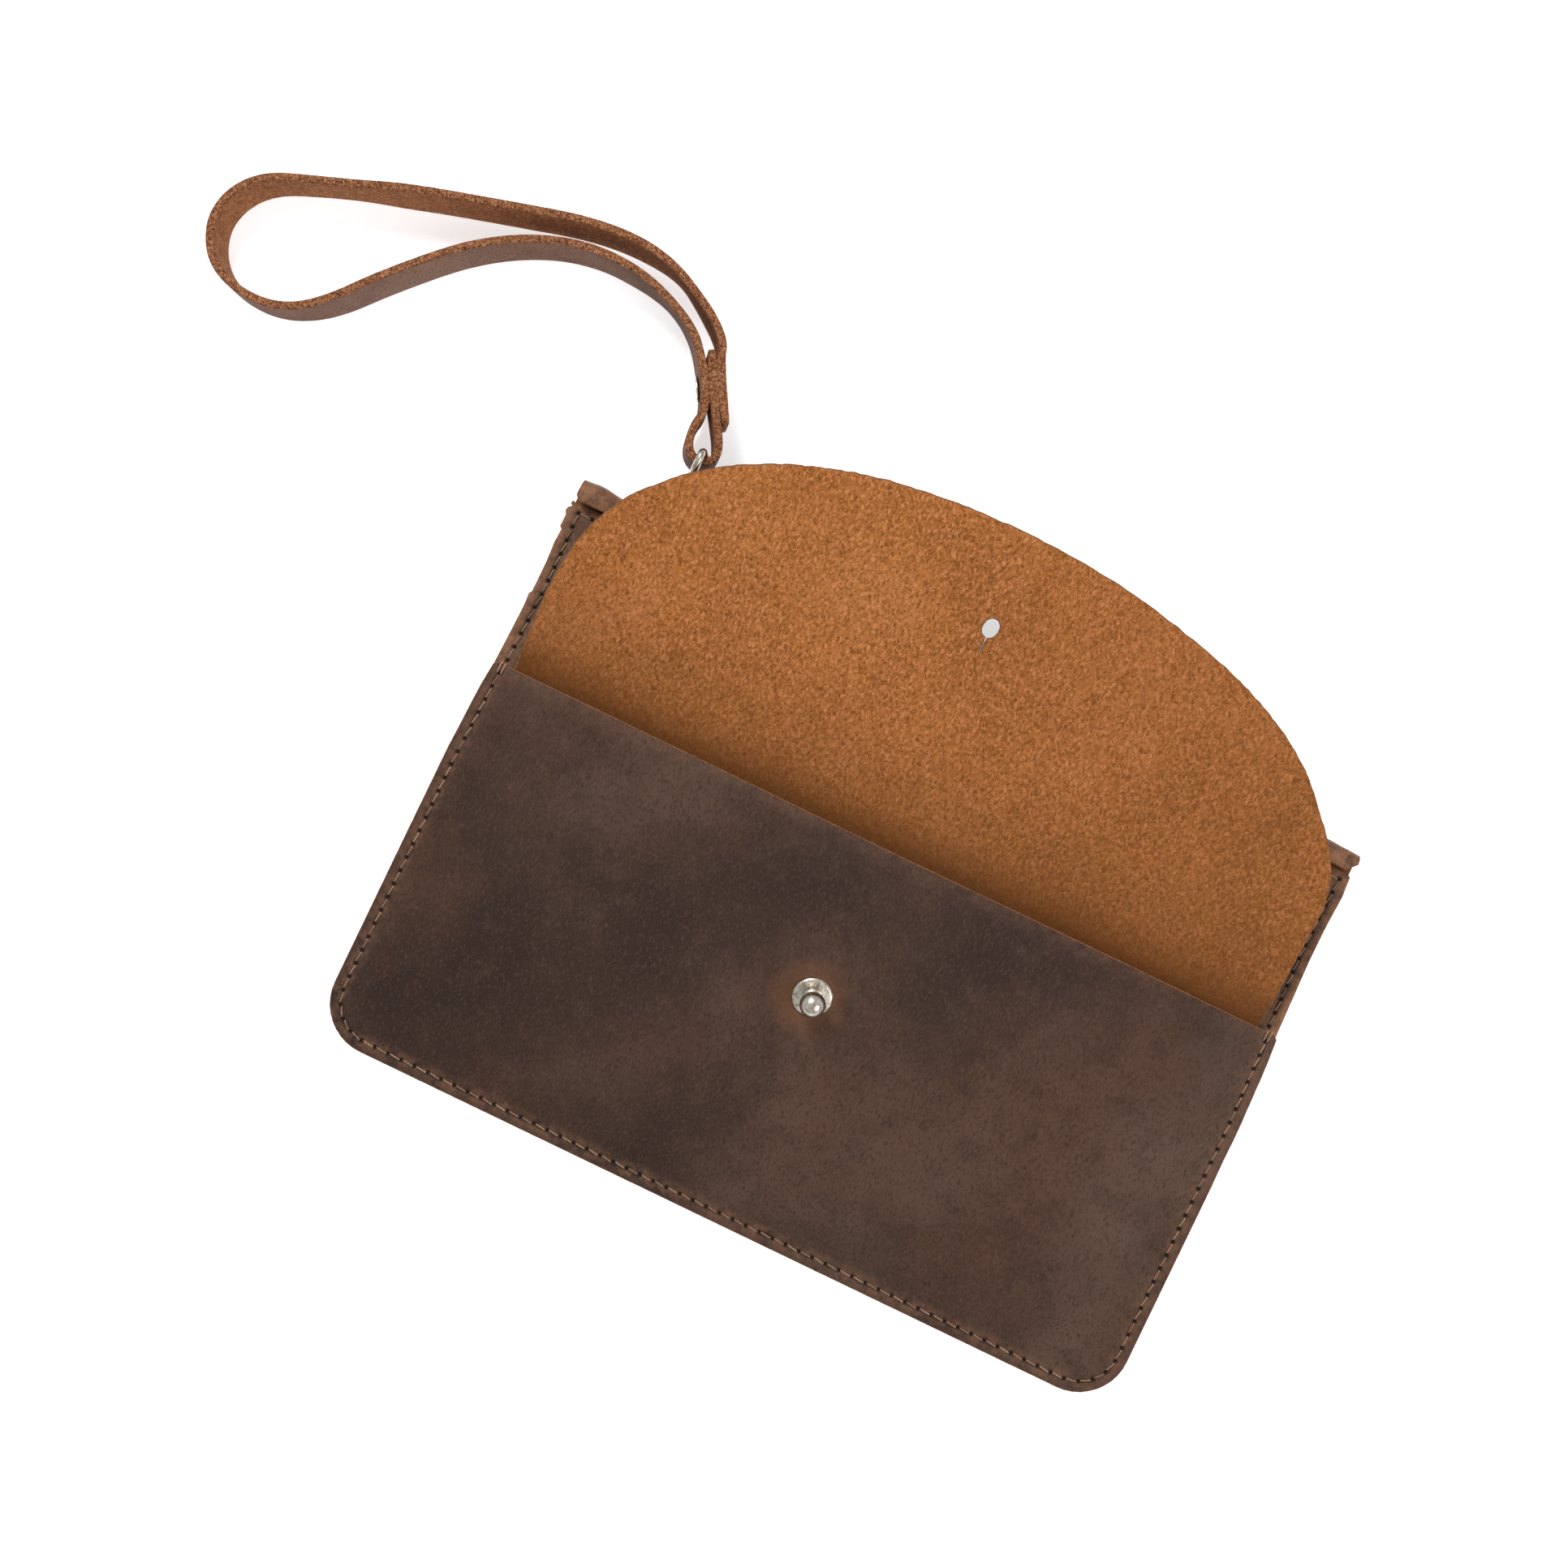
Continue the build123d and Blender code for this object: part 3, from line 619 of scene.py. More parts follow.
def round_profile(points, r):
    """Softens the corners of a turned profile, each with five points."""
    made = [points[0]]
    for a, b, c in zip(points, points[1:], points[2:]):
        a, b, c = Vector(a), Vector(b), Vector(c)
        reach = min(r, (a - b).length * 0.45, (c - b).length * 0.45)
        p, q = b + (a - b).normalized() * reach, b + (c - b).normalized() * reach
        for t in (0, 0.25, 0.5, 0.75, 1.0):
            made.append(tuple(p * (1 - t) ** 2 + b * 2 * t * (1 - t) + q * t * t))
    made.append(points[-1])
    return made


make_camera()

# ---- materials ----
FRONT = leather(
    "front_leather",
    dark=(0.029, 0.0155, 0.0110), mid=(0.050, 0.0260, 0.0170), light=(0.102, 0.058, 0.038),
    warm=(0.084, 0.038, 0.021), suede=(0.20, 0.075, 0.026), glow=(0.208, 0.090, 0.039),
)
BACK = leather(
    "back_leather",
    dark=(0.060, 0.033, 0.020), mid=(0.120, 0.063, 0.036), light=(0.225, 0.118, 0.066),
    warm=(0.13, 0.066, 0.040), suede=(0.20, 0.075, 0.026),
)
FLAP = leather(
    "flap_leather",
    dark=(0.029, 0.0155, 0.0110), mid=(0.050, 0.0260, 0.0170), light=(0.108, 0.060, 0.038),
    warm=(0.088, 0.039, 0.021), suede=(0.360, 0.123, 0.0285),
)
STRAP = strap_material()
NICKEL = metal("worn_nickel", (0.72, 0.67, 0.57), (0.34, 0.28, 0.21), 0.17)
BRASS = metal("antique_brass", (0.36, 0.28, 0.17), (0.16, 0.12, 0.075), 0.34)
TAPE = woven("zip_tape", (0.018, 0.012, 0.010), (0.075, 0.050, 0.038))
THREAD = thread_material()

# ---- the wrist strap ----
STRAP_W, HALF_T, STRAP_STEP = 12.7, 0.95, 0.9
RIVET_X, RIVET_Y = -84.75, 105.4
DOME = [(0, 0), (2.95, 0), (3.3, 0.12), (3.3, 0.45), (2.95, 0.74), (2.2, 0.92), (1.2, 0.99), (0, 1.0)]
EDGE_POINTS = [  # round the strap's edge: (inset, thickness, side, edge)
    (0.06, HALF_T - 0.12, 0.2, 0.9), (0, 0.4, 0.4, 1), (0, -0.4, 0.6, 1), (0.06, 0.12 - HALF_T, 0.8, 0.9),
]
STRAP_LOW_X, STRAP_LOW_Z, RING_X, RING_Y, RING_Z = -207.0, 6.4, -79.5, 90.3, 9.1
SLOPE = math.atan2(RING_Z - STRAP_LOW_Z, RING_X - STRAP_LOW_X)
STRAP_UP = Vector((-math.sin(SLOPE), 0, math.cos(SLOPE)))
STRAP_ROUTE = [
    (-78.1, 98.3), (-80.1, 101.3), (-85.6, 110.9), (-86.8, 115.8), (-94.3, 121.7),
    (-105.6, 128.0), (-123.7, 128.4), (-146.1, 122.5), (-168.2, 116.4), (-188.7, 109.4),
    (-203.4, 103.5), (-209.2, 91.4), (-203.1, 79.4), (-188.9, 76.6), (-176.9, 81.8),
    (-164.2, 96.8), (-147.2, 113.2), (-127.7, 122.2), (-108.6, 122.0), (-95.4, 116.4),
    (-88.8, 108.5), (-83.7, 99.6), (-84.9, 94.6), (-83.6, 88.8), (-79.3, 87.2),
    (-76.3, 90.3), (-78.2, 94.8), (-81.0, 98.9), (-85.2, 106.2), (-88.6, 112.6),
]


def on_strap(x, y):
    """A point of the strap's tilted mid-plane."""
    along = x - STRAP_LOW_X
    return Vector((STRAP_LOW_X + along * math.cos(SLOPE), y, STRAP_LOW_Z + along * math.sin(SLOPE)))


def strap_line():
    """The route as a smooth curve, read back as closely spaced points in metres."""
    data = bpy.data.curves.new("strap_route", "CURVE")
    data.dimensions = "3D"
    spline = data.splines.new("NURBS")
    spline.points.add(len(STRAP_ROUTE) - 1)
    for point, (x, y) in zip(spline.points, STRAP_ROUTE):
        point.co = (*(on_strap(x, y) * MM), 1)
    spline.order_u = 3
    spline.use_endpoint_u = True
    spline.resolution_u = 14
    route = bpy.data.objects.new("strap_route", data)
    bpy.context.scene.collection.objects.link(route)
    bpy.context.view_layer.update()
    mesh = bpy.data.meshes.new_from_object(route)
    points = [v.co.copy() for v in mesh.vertices]
    bpy.data.objects.remove(route)
    bpy.data.meshes.remove(mesh)
    return points


def even(points, step):
    """The same line with evenly spaced points."""
    made, carry = [points[0].copy()], 0.0
    for a, b in zip(points, points[1:]):
        length = (b - a).length
        while carry + length >= step:
            t = (step - carry) / length
            a = a + (b - a) * t
            length = (b - a).length
            made.append(a.copy())
            carry = 0.0
        carry += length
    made[-1] = points[-1].copy()
    return made


LEAN = Vector((0.9012, 0.4335, 0)) * 0.12  # near the ring the strap's upper edge leans to this side
END_LEAN = Vector((-0.9, 0.44, 0)) * 0.035  # and outwards round the far end of the loop
ARM_LEAN = Vector((-0.35, 0.94, 0)) * 0.09  # and away from the wallet along the arms


def strap_section():
    """The strap's outline across its width: (across, thickness, side, edge) at each point."""
    half_w, soft, steps = STRAP_W / 2, 0.26, 12
    made = []
    for s, face in ((1, 0), (-1, 1)):
        for k in range(steps + 1):
            across = -half_w + soft + (STRAP_W - 2 * soft) * k / steps
            made.append((s * across, s * HALF_T, face, 0.45 * (k in (0, steps))))
        for inset, t, level, mark in EDGE_POINTS:
            made.append((s * (half_w - inset), s * t, abs(face - level), mark))
    return made


def strap_lean(p):
    """Which way the strap's upper edge points there: upwards, and a little to one side."""
    arm = smooth(-98, -116, p.x) * smooth(-184, -168, p.x)
    sideways = LEAN * smooth(-104, -90, p.x) + END_LEAN * smooth(-186, -200, p.x) + ARM_LEAN * arm
    return (STRAP_UP + sideways).normalized()


def make_strap():
    """The whole strip, with rough faces and frayed edges."""
    line = strap_line()
    spaced = [p / MM for p in even(line, STRAP_STEP * MM)]
    section = strap_section()
    rings, side, edge, rest = [], [], [], []
    total = len(spaced)
    for i, p in enumerate(spaced):
        heading = (spaced[min(i + 1, total - 1)] - spaced[max(i - 1, 0)]).normalized()
        out = heading.cross(STRAP_UP).normalized()
        end = min(i, total - 1 - i)
        pinch = {0: 0.82, 1: 0.96}.get(end, 1.0)
        pinch *= 1 + 0.13 * smooth(8.0, 4.5, math.dist((p.x, p.y), (RIVET_X, RIVET_Y)))
        leaning = strap_lean(p)
        at = i * STRAP_STEP
        ring = []
        for a, t, s, e in section:
            rough = 0.07 * wave(at, a, 2.2, 5) * (1 - 0.5 * e)
            fray = -0.14 * abs(wave(at, t * 2, 1.5, 8)) * e
            w = (a + math.copysign(fray, a)) * (0.985 if end == 0 else 1)
            ring.append(tuple(p + out * (t * pinch + math.copysign(rough, t)) + leaning * w))
            side.append(s)
            edge.append(1.0 if end == 0 else e)
            rest.append((at, a, t))
        rings.append(ring)
    strap = tube("strap_band", rings, STRAP, side=side, edge=edge)
    strap.data.attributes["rest"].data.foreach_set("vector", np.array(rest, np.float32).ravel())
    return strap, line


def rivet_place(side):
    """Where a rivet head sits on one side of the three layers."""
    along = math.atan2(0.866, -0.5)
    turn = Matrix.Rotation(along - math.pi / 2, 4, "Z") @ Matrix.Rotation(math.pi / 2, 4, "Y")
    tilt = (
        Matrix.Translation((STRAP_LOW_X, 0, STRAP_LOW_Z))
        @ Matrix.Rotation(-SLOPE, 4, "Y")
        @ Matrix.Translation((-STRAP_LOW_X, 0, 0))
    )
    flip = Matrix.Identity(4) if side > 0 else Matrix.Rotation(math.pi, 4, "X")
    return tilt @ Matrix.Translation((RIVET_X, RIVET_Y, 0)) @ turn @ flip


def make_rivets():
    """The domed post, with its shank, and the domed cap on the other side."""
    made = []
    for side, node in ((1, "rivet_post"), (-1, "rivet_cap")):
        top = 0.58 if side > 0 else 0.88
        dome = [(r, 3.06 + z * top) for r, z in DOME]
        profile = round_profile(dome, 0.1)
        if side > 0:
            profile = round_profile([(0, -3.0), (1.5, -3.0), (1.5, 3.06)] + dome[1:], 0.12)
        cap = lathe(f"rivet_{'outer' if side > 0 else 'inner'}", profile, NICKEL, 48, rivet_place(side))
        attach(cap, "strap")
        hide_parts(node)
        made.append(cap)
    return made


strap, strap_path = make_strap()
rivets = make_rivets()
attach(strap, "strap")
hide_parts("wrist_strap")


# ---- seams ----
def along(points, pitch):
    """Evenly spaced (x, y, angle) along an open line of points."""
    lengths = [math.dist(a, b) for a, b in zip(points, points[1:])]
    total = sum(lengths)
    count = round(total / pitch)
    made = []
    for k in range(count + 1):
        want = total * k / count
        for (ax, ay), (bx, by), length in zip(points, points[1:], lengths):
            if want <= length + 1e-9:
                t = want / length
                made.append((ax + (bx - ax) * t, ay + (by - ay) * t, math.atan2(by - ay, bx - ax)))
                break
            want -= length
    return made


def seam_line():
    """Down the left side, along the bottom and up the right side."""
    x, y, r = HALF_W - STITCH_IN, BOTTOM + STITCH_IN, CORNER_R - STITCH_IN
    up = [(side_row(v), v) for v in (-8, 0, 8, 15, MOUTH - 2.5)]
    down = [(-a, b) for a, b in reversed(up)]
    return down + arc(-x + r, y + r, r, 180, 270) + arc(x - r, y + r, r, 270, 360) + up


def stitch(verts, faces, shade, a, b, surface, lift, slant):
    """One stitch from hole a to hole b, over the surface and slanting a little."""
    ax, ay, turn = a
    bx, by = b[:2]
    nx, ny = -math.sin(turn), math.cos(turn)
    tone = rng.uniform(0.30, 0.62)
    push = slant * rng.uniform(0.6, 1.3)
    first = len(verts)
    rings, sides = 9, 8
    for k in range(rings):
        t = 0.12 + 0.76 * k / (rings - 1)
        off = push * (1 - 2 * t)
        x, y = ax + (bx - ax) * t + nx * off, ay + (by - ay) * t + ny * off
        rise = lift * (1 - abs(2 * t - 1) ** 2.6) - 0.34 * abs(2 * t - 1) ** 4
        size = THREAD_R * (1 - 0.75 * abs(2 * t - 1) ** 5)
        z = surface(x, y) + rise
        for j in range(sides):
            c = 2 * math.pi * j / sides
            across = size * math.cos(c)
            verts.append((x + nx * across, y + ny * across, z + 0.72 * size * math.sin(c)))
            shade.append(tone)
    for k in range(rings - 1):
        p, q = first + k * sides, first + (k + 1) * sides
        faces += [(p + j, q + j, q + (j + 1) % sides, p + (j + 1) % sides) for j in range(sides)]
    faces.append(tuple(first + j for j in range(sides)))
    faces.append(tuple(first + (rings - 1) * sides + j for j in reversed(range(sides))))


def sew(name, pairs, surface, node, lift=0.20, slant=0.24):
    """Stitches between pairs of holes as one piece, each stitch a closed shell."""
    verts, faces, shade = [], [], []
    for a, b in pairs:
        stitch(verts, faces, shade, a, b, surface, lift, slant)
    obj = build(name, verts, faces, THREAD, shade=shade)
    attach(obj, "wallet")
    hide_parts(node)


def neighbours(rows):
    """Each stitch hole of some rows with the next one."""
    return [pair for row in rows for pair in zip(row, row[1:])]


def pits_of(rows, side):
    """The stitch holes of some rows, sunk into one face of a panel."""
    return [(x, y, turn, side) for row in rows for x, y, turn in row]


SIDE_TOP, ZIP_SEAM = 65.6, 83
LOW_SEAM_Y, HIGH_SEAM_Y = WINDOW_Y - 1.6, ROLL_EDGE + 1.15
FRONT_ROW = along(seam_line(), PITCH)
SIDE_YS = (MOUTH + 1.2, 30, 45, 55, SIDE_TOP)
SIDE_ROWS = [along([(s * side_row(v), v) for v in SIDE_YS], PITCH) for s in (-1, 1)]
CORNER_ROWS = [along([(s * side_row(SIDE_TOP), SIDE_TOP), (s * 86.6, SIDE_TOP)], 3.4) for s in (-1, 1)]
ZIP_LOW = [along([(-ZIP_SEAM, LOW_SEAM_Y), (ZIP_SEAM, LOW_SEAM_Y)], PITCH)]
ZIP_HIGH = [along([(-ZIP_SEAM, HIGH_SEAM_Y), (ZIP_SEAM, HIGH_SEAM_Y)], PITCH)]


# ---- panels ----
def front_dip(x, y):
    """Small hollows and creases of the front, none of them proud of its resting shape."""
    amount = 0.34 + 0.30 * wave(x, y, 27, 1) + 0.14 * wave(x, y, 11, 2)
    near = math.hypot(x - STUD_X, y - STUD_Y)
    pucker = 0.35 * smooth(16, 4, near) * (0.6 + 0.4 * wave(x, y, 4, 9))
    inner = smooth(SEAM_X, 84, abs(x)) * smooth(SEAM_Y, SEAM_Y + 16, y)
    tilt = ((x - STUD_X) * STUD_SIDE[0] + (y - STUD_Y) * STUD_SIDE[1]) * math.tan(STUD_LEAN)
    return (max(0.0, amount) + pucker) * inner + tilt * 0.8 * smooth(15, 4.5, near)


def row_gap(x, y):
    """How far a place is from the nearest seam."""
    return min(abs(abs(x) - side_row(y)), abs(y - (BOTTOM + STITCH_IN)))


def front_place(x, y, h):
    """The front panel, drawn in along its seam by the thread."""
    z = FRONT_Z + zip_rise(x, y) + front_rise(x, y) - front_dip(x, y)
    furrow = 0.16 * math.exp(-(row_gap(x, y) / 0.9) ** 2)
    return (x, y, z + h - furrow * (h / LEATHER))


def front_top(x, y):
    """The height of the front's outer face."""
    return front_place(x, y, LEATHER)[2]


def low_corners():
    """The rounded bottom edge that all the layers share."""
    r = CORNER_R
    return arc(-HALF_W + r, BOTTOM + r, r, 180, 270) + arc(HALF_W - r, BOTTOM + r, r, 270, 360)


def front_outline():
    """The front panel, its mouth dipping a little in the middle."""
    right = [(half_at(y) + 0.12 * wave(y, 3, 9, 2), y) for y in range(-14, 22, 4)]
    left = [(-half_at(y) - 0.12 * wave(y, 8, 9, 2), y) for y in range(18, -18, -4)]
    w = half_at(MOUTH)
    mouth = [(w - 0.3, MOUTH - 1.0), (w - 1.2, MOUTH - 0.1), (60, MOUTH), (0, MOUTH - 0.25), (-60, MOUTH)]
    return low_corners() + right + mouth + [(-w + 1.2, MOUTH - 0.1), (-w + 0.3, MOUTH - 1.0)] + left


def front_wear(x, y):
    """Rubbed along the seams and edges and round the stud."""
    gap = min(half_at(y) - abs(x), y - BOTTOM, abs(MOUTH - y))
    near = math.hypot(x - STUD_X, y - STUD_Y)
    return max(0.40 * smooth(5, 0, gap), 0.25 * smooth(20, 5, near), 0.95 * smooth(1.5, 0.3, row_gap(x, y)))


front = panel(
    "front_leather", front_outline(), front_place, FRONT, spacing=2.0,
    pits=pits_of([FRONT_ROW], "top"), wear=front_wear, grain_up=True,
)
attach(front, "wallet")
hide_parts("front_panel")


def middle_place(x, y, h):
    """The zip pocket's front, drawn in along its side seams above the mouth."""
    furrow = 0.12 * math.exp(-((abs(x) - side_row(y)) / 0.9) ** 2)
    squeeze = furrow * (h / LEATHER) * smooth(MOUTH, MOUTH + 3, y)
    return (x, y, MIDDLE_Z + zip_rise(x, y) + h - squeeze)


def middle_top(x, y):
    """The height of the zip pocket's outer face."""
    return middle_place(x, y, LEATHER)[2]


def middle_outline():
    """The zip pocket's front, with the zip's window and a roughly cut left edge."""
    top = ROLL_EDGE - 0.2
    right = [*zip(EDGE_X, EDGE_Y), (103.6, top - 0.7), (102.2, top)]
    right += [(ZIP_HALF, top), (ZIP_HALF, WINDOW_Y), (-ZIP_HALF, WINDOW_Y), (-ZIP_HALF, top), (-101.6, top)]
    ragged = [
        (102.9, 67.5), (103.9, 67.9), (104.2, 67.2), (103.6, 66.6), (104.4, 65.9), (104.6, 64.9),
        (104.1, 64.2), (104.1, 61), (103.5, 60.4), (103.7, 57), (103.4, 52), (103.4, 44), (103.9, 43.2),
        (103.7, 40), (104.0, 30), (104.5, 15), (105.0, 0), (105.0, -14),
    ]
    return low_corners() + right + [(-x, y) for x, y in ragged]


middle = panel(
    "middle_leather", middle_outline(), middle_place, BACK, spacing=2.6,
    pits=pits_of(SIDE_ROWS + CORNER_ROWS + ZIP_LOW, "top"),
    wear=lambda x, y: 0.8 * smooth(4, 0, min(half_at(y) - abs(x), abs(ROLL_EDGE - y))), grain_up=True,
)
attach(middle, "wallet")
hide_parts("middle_panel")

ROLL_MID = ROLL_R - LEATHER / 2
ROLL_START = TOP - ROLL_R
ROLL_END = ROLL_START + math.pi * ROLL_MID + (ROLL_START - ROLL_EDGE)


def back_place(x, v, h):
    """Flat, then round the roll at the top and a little way down the front."""
    if v <= ROLL_START:
        return (x, v, h)
    turn = (v - ROLL_START) / ROLL_MID
    dent = 0.22 * max(0.0, wave(x, v, 14, 6)) + 0.10 * max(0.0, wave(x, v, 5, 7))
    ends = 0.5 * smooth(97, 104, abs(x))
    r = ROLL_R - h - (dent + ends) * math.sin(min(turn, math.pi)) * (1 - h / LEATHER)
    if turn < math.pi:
        loose = 0.9 * smooth(-92, -101, x)
        return (x, ROLL_START + (r + loose) * math.sin(turn), ROLL_R - r * math.cos(turn))
    down = v - ROLL_START - math.pi * ROLL_MID
    return (x, ROLL_START - down, 2 * ROLL_R - h)


def back_wear(x, v):
    """Rubbed at the edges and along the roll."""
    return max(0.8 * smooth(4, 0, min(half_at(v) - abs(x), v - BOTTOM)), 0.75 * smooth(71, 73.5, v))


def back_outline():
    """The back panel laid flat, before its top edge is turned over."""
    right = [(half_at(v) - 0.1, v) for v in (-14, 0, 15, 30, 45, 55)]
    left = [(-x, v) for x, v in reversed(right)]
    roll = [(103.4, ROLL_END - 2.4), (101.2, ROLL_END), (-102.2, ROLL_END), (-103.4, ROLL_END - 1.2)]
    return low_corners() + right + roll + left


def high_v(y):
    """Along the leather to a place on the turned edge."""
    return ROLL_START + math.pi * ROLL_MID + (ROLL_START - y)


ROLL_ROWS = [[(x, high_v(y), turn) for x, y, turn in ZIP_HIGH[0]]]
back = panel(
    "back_leather", back_outline(), back_place, BACK, spacing=2.2, wear=back_wear,
    pits=pits_of(ROLL_ROWS + [FRONT_ROW] + SIDE_ROWS, "bottom"),
)
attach(back, "wallet")
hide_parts("back_panel")

# The flap and the pocket lining are one piece of leather that bends at the fold.
BEND_MID, BEND_HALF, BEND_STEP = 34.46, 5.0, 0.1
FLAP_FROM, HOLE_AT = 34.92, 47.939  # where the flap's own measures start, and its hole's middle from there
FLAP_OUTLINE = [
    (98.6, 1.5), (98.6, 13.9), (98.2, 24.7), (94.4, 33.8), (86.4, 43.2), (77.8, 51.1), (67.0, 57.5),
    (51.7, 63.4), (27.3, 69.0), (4.9, 71.3), (-16.1, 71.1), (-32.0, 69.4), (-43.6, 67.2), (-54.6, 63.9),
    (-65.1, 59.6), (-78.1, 51.7), (-87.0, 43.3), (-92.3, 36.7), (-97.0, 25.9), (-98.9, 13.5), (-99.0, 1.5),
]


def spline_through(points, steps):
    """A smooth curve through the points."""
    made = []
    for i in range(len(points) - 1):
        p0 = Vector(points[max(i - 1, 0)])
        p1, p2 = Vector(points[i]), Vector(points[i + 1])
        p3 = Vector(points[min(i + 2, len(points) - 1)])
        for k in range(steps):
            t = k / steps
            q = 0.5 * (
                2 * p1 + (p2 - p0) * t + (2 * p0 - 5 * p1 + 4 * p2 - p3) * t * t
                + (3 * p1 - p0 - 3 * p2 + p3) * t ** 3
            )
            made.append((q.x, q.y))
    return made + [points[-1]]


def bend_table():
    """The lining's top line through the bend: (length along it, y, height above the lining's, slope)."""
    low, high = BEND_MID - BEND_HALF, BEND_MID + BEND_HALF
    v, y, z, rows = low, low, 0.0, []
    while v < high:
        slope = FLAP_ANGLE * smooth(low, high, v)
        rows.append((v, y, z, slope))
        y += BEND_STEP * math.cos(slope)
        z += BEND_STEP * math.sin(slope)
        v += BEND_STEP
    return rows


BEND = bend_table()
LINER_TOP = LINER_Z + LEATHER + zip_along(FOLD_Y)


def flap_place(x, v, h):
    """The lining, the bend at the fold, then the flap sloping up and sagging a little."""
    down = LEATHER - h
    lifted = smooth(23, 34, v)
    if v <= BEND[0][0]:
        rise = zip_along(v) * (side_fade(x, 18) * (1 - lifted) + lifted)
        return (x, v, LINER_Z + rise + h)
    fall = zip_along(v) * (1 - side_fade(x, 18)) * (1 - lifted)
    flat = LINER_TOP - fall
    past = v >= BEND[-1][0]
    start, y, z, slope = BEND[-1] if past else BEND[min(len(BEND) - 1, int((v - BEND[0][0]) / BEND_STEP))]
    if past:
        slope = FLAP_ANGLE
    y, z = y + (v - start) * math.cos(slope), z + (v - start) * math.sin(slope)
    s = v - FLAP_FROM
    soft = smooth(12, 30, s)
    sag = soft * (0.45 + 0.38 * wave(x, s, 46, 12) + 0.12 * wave(x, s, 15, 13))
    down += max(0.0, sag)
    return (x, y + down * math.sin(slope), flat + z - down * math.cos(slope))


def flap_outline():
    """The lining, narrower where it leaves the pocket, and the flap with its torn rim."""
    wide = [(half_at(v) - 0.1, v) for v in (-14, 0, 15, MOUTH - 4.0)]
    right = wide + [(FLAP_HALF + 0.4, MOUTH - 3.2), (FLAP_HALF, MOUTH + 1)]
    left = [(-x, v) for x, v in reversed(right)]
    rim = [(x, FLAP_FROM + s) for x, s in spline_through(FLAP_OUTLINE, 12)]
    torn = [(x + 0.22 * wave(x, y, 1.7, 21), y + 0.26 * wave(x, y, 1.5, 22)) for x, y in rim[1:-1]]
    return low_corners() + right + rim[:1] + torn + rim[-1:] + left


def stud_hole():
    """A slightly oval hole with a short slit towards the fold, clockwise."""
    r, cx, cy = 2.1, STUD_X, FLAP_FROM + HOLE_AT
    slit, half = 3.9, 0.035
    ring = []
    for k in range(27):
        a = math.radians(274 + 352 * k / 26)
        stretch = 1 + 0.12 * math.cos(2 * (a - math.radians(82)))
        ring.append((cx + r * stretch * math.cos(a), cy + r * stretch * math.sin(a)))
    foot = cy - 1.12 * r
    ring += [(cx - half, foot - 0.4 * slit), (cx - 0.5 * half, foot - slit), (cx + 0.5 * half, foot - slit),
             (cx + half, foot - 0.4 * slit)]
    return list(reversed(ring))


flap = panel(
    "flap_leather", flap_outline(), flap_place, FLAP, spacing=2.2, holes=[stud_hole()],
    wear=lambda x, y: 0.5 * smooth(5, 0, abs(y - FLAP_FROM - 48)),
)
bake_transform(flap)
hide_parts("flap", "flap_liner")


def zip_seam_top(x, y):
    """What a zip stitch lies on, below or above the zip."""
    return middle_top(x, y) if y < ZIP_Y else 2 * ROLL_R


def lock_top(x, y):
    """What the mouth's end stitches lie on, carried on over the cut edge."""
    return front_top(x, min(y, MOUTH - 0.3))


LOCKS = []
for end in (-side_row(MOUTH), side_row(MOUTH)):
    for gap in (-0.45, 0.45):
        LOCKS.append(((end + gap, MOUTH - 3.0, math.pi / 2), (end + gap * 1.2, MOUTH + 0.9, math.pi / 2)))
sew("front_seam", neighbours([FRONT_ROW]), front_top, "front_seam_thread")
sew("side_seams", neighbours(SIDE_ROWS + CORNER_ROWS), middle_top, "side_seam_thread")
sew("zip_seams", neighbours(ZIP_LOW + ZIP_HIGH), zip_seam_top, "zipper_seam_thread")
sew("mouth_locks", LOCKS, lock_top, "corner_lock_thread", lift=0.34, slant=0.1)


# ---- metal ----
def make_stud():
    """Base, neck and ball in one turned piece, leaning as the soft leather lets it."""
    height = front_top(STUD_X, STUD_Y) - 0.05
    axis = Vector((-STUD_SIDE[1], STUD_SIDE[0], 0))
    place = Matrix.Translation((STUD_X, STUD_Y, height)) @ Matrix.Rotation(STUD_LEAN, 4, axis)
    ball_r, ball_z, neck_r = 3.1, 5.3, 1.75
    neck = math.asin(neck_r / ball_r)
    ball = []
    for k in range(25):
        a = neck + (math.pi - neck) * k / 24
        ball.append((ball_r * math.sin(a), ball_z - ball_r * math.cos(a)))
    foot = [(0, 0), (4.85, 0), (4.85, 0.40), (4.35, 0.72), (2.2, 0.80), (neck_r, 1.1), (neck_r, 2.3)]
    profile = round_profile(foot, 0.18)[:-1] + ball[:-1] + [(0, 8.4)]
    stud = lathe("stud", profile, NICKEL, 64, place)
    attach(stud, "wallet")
    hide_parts("stud_head")


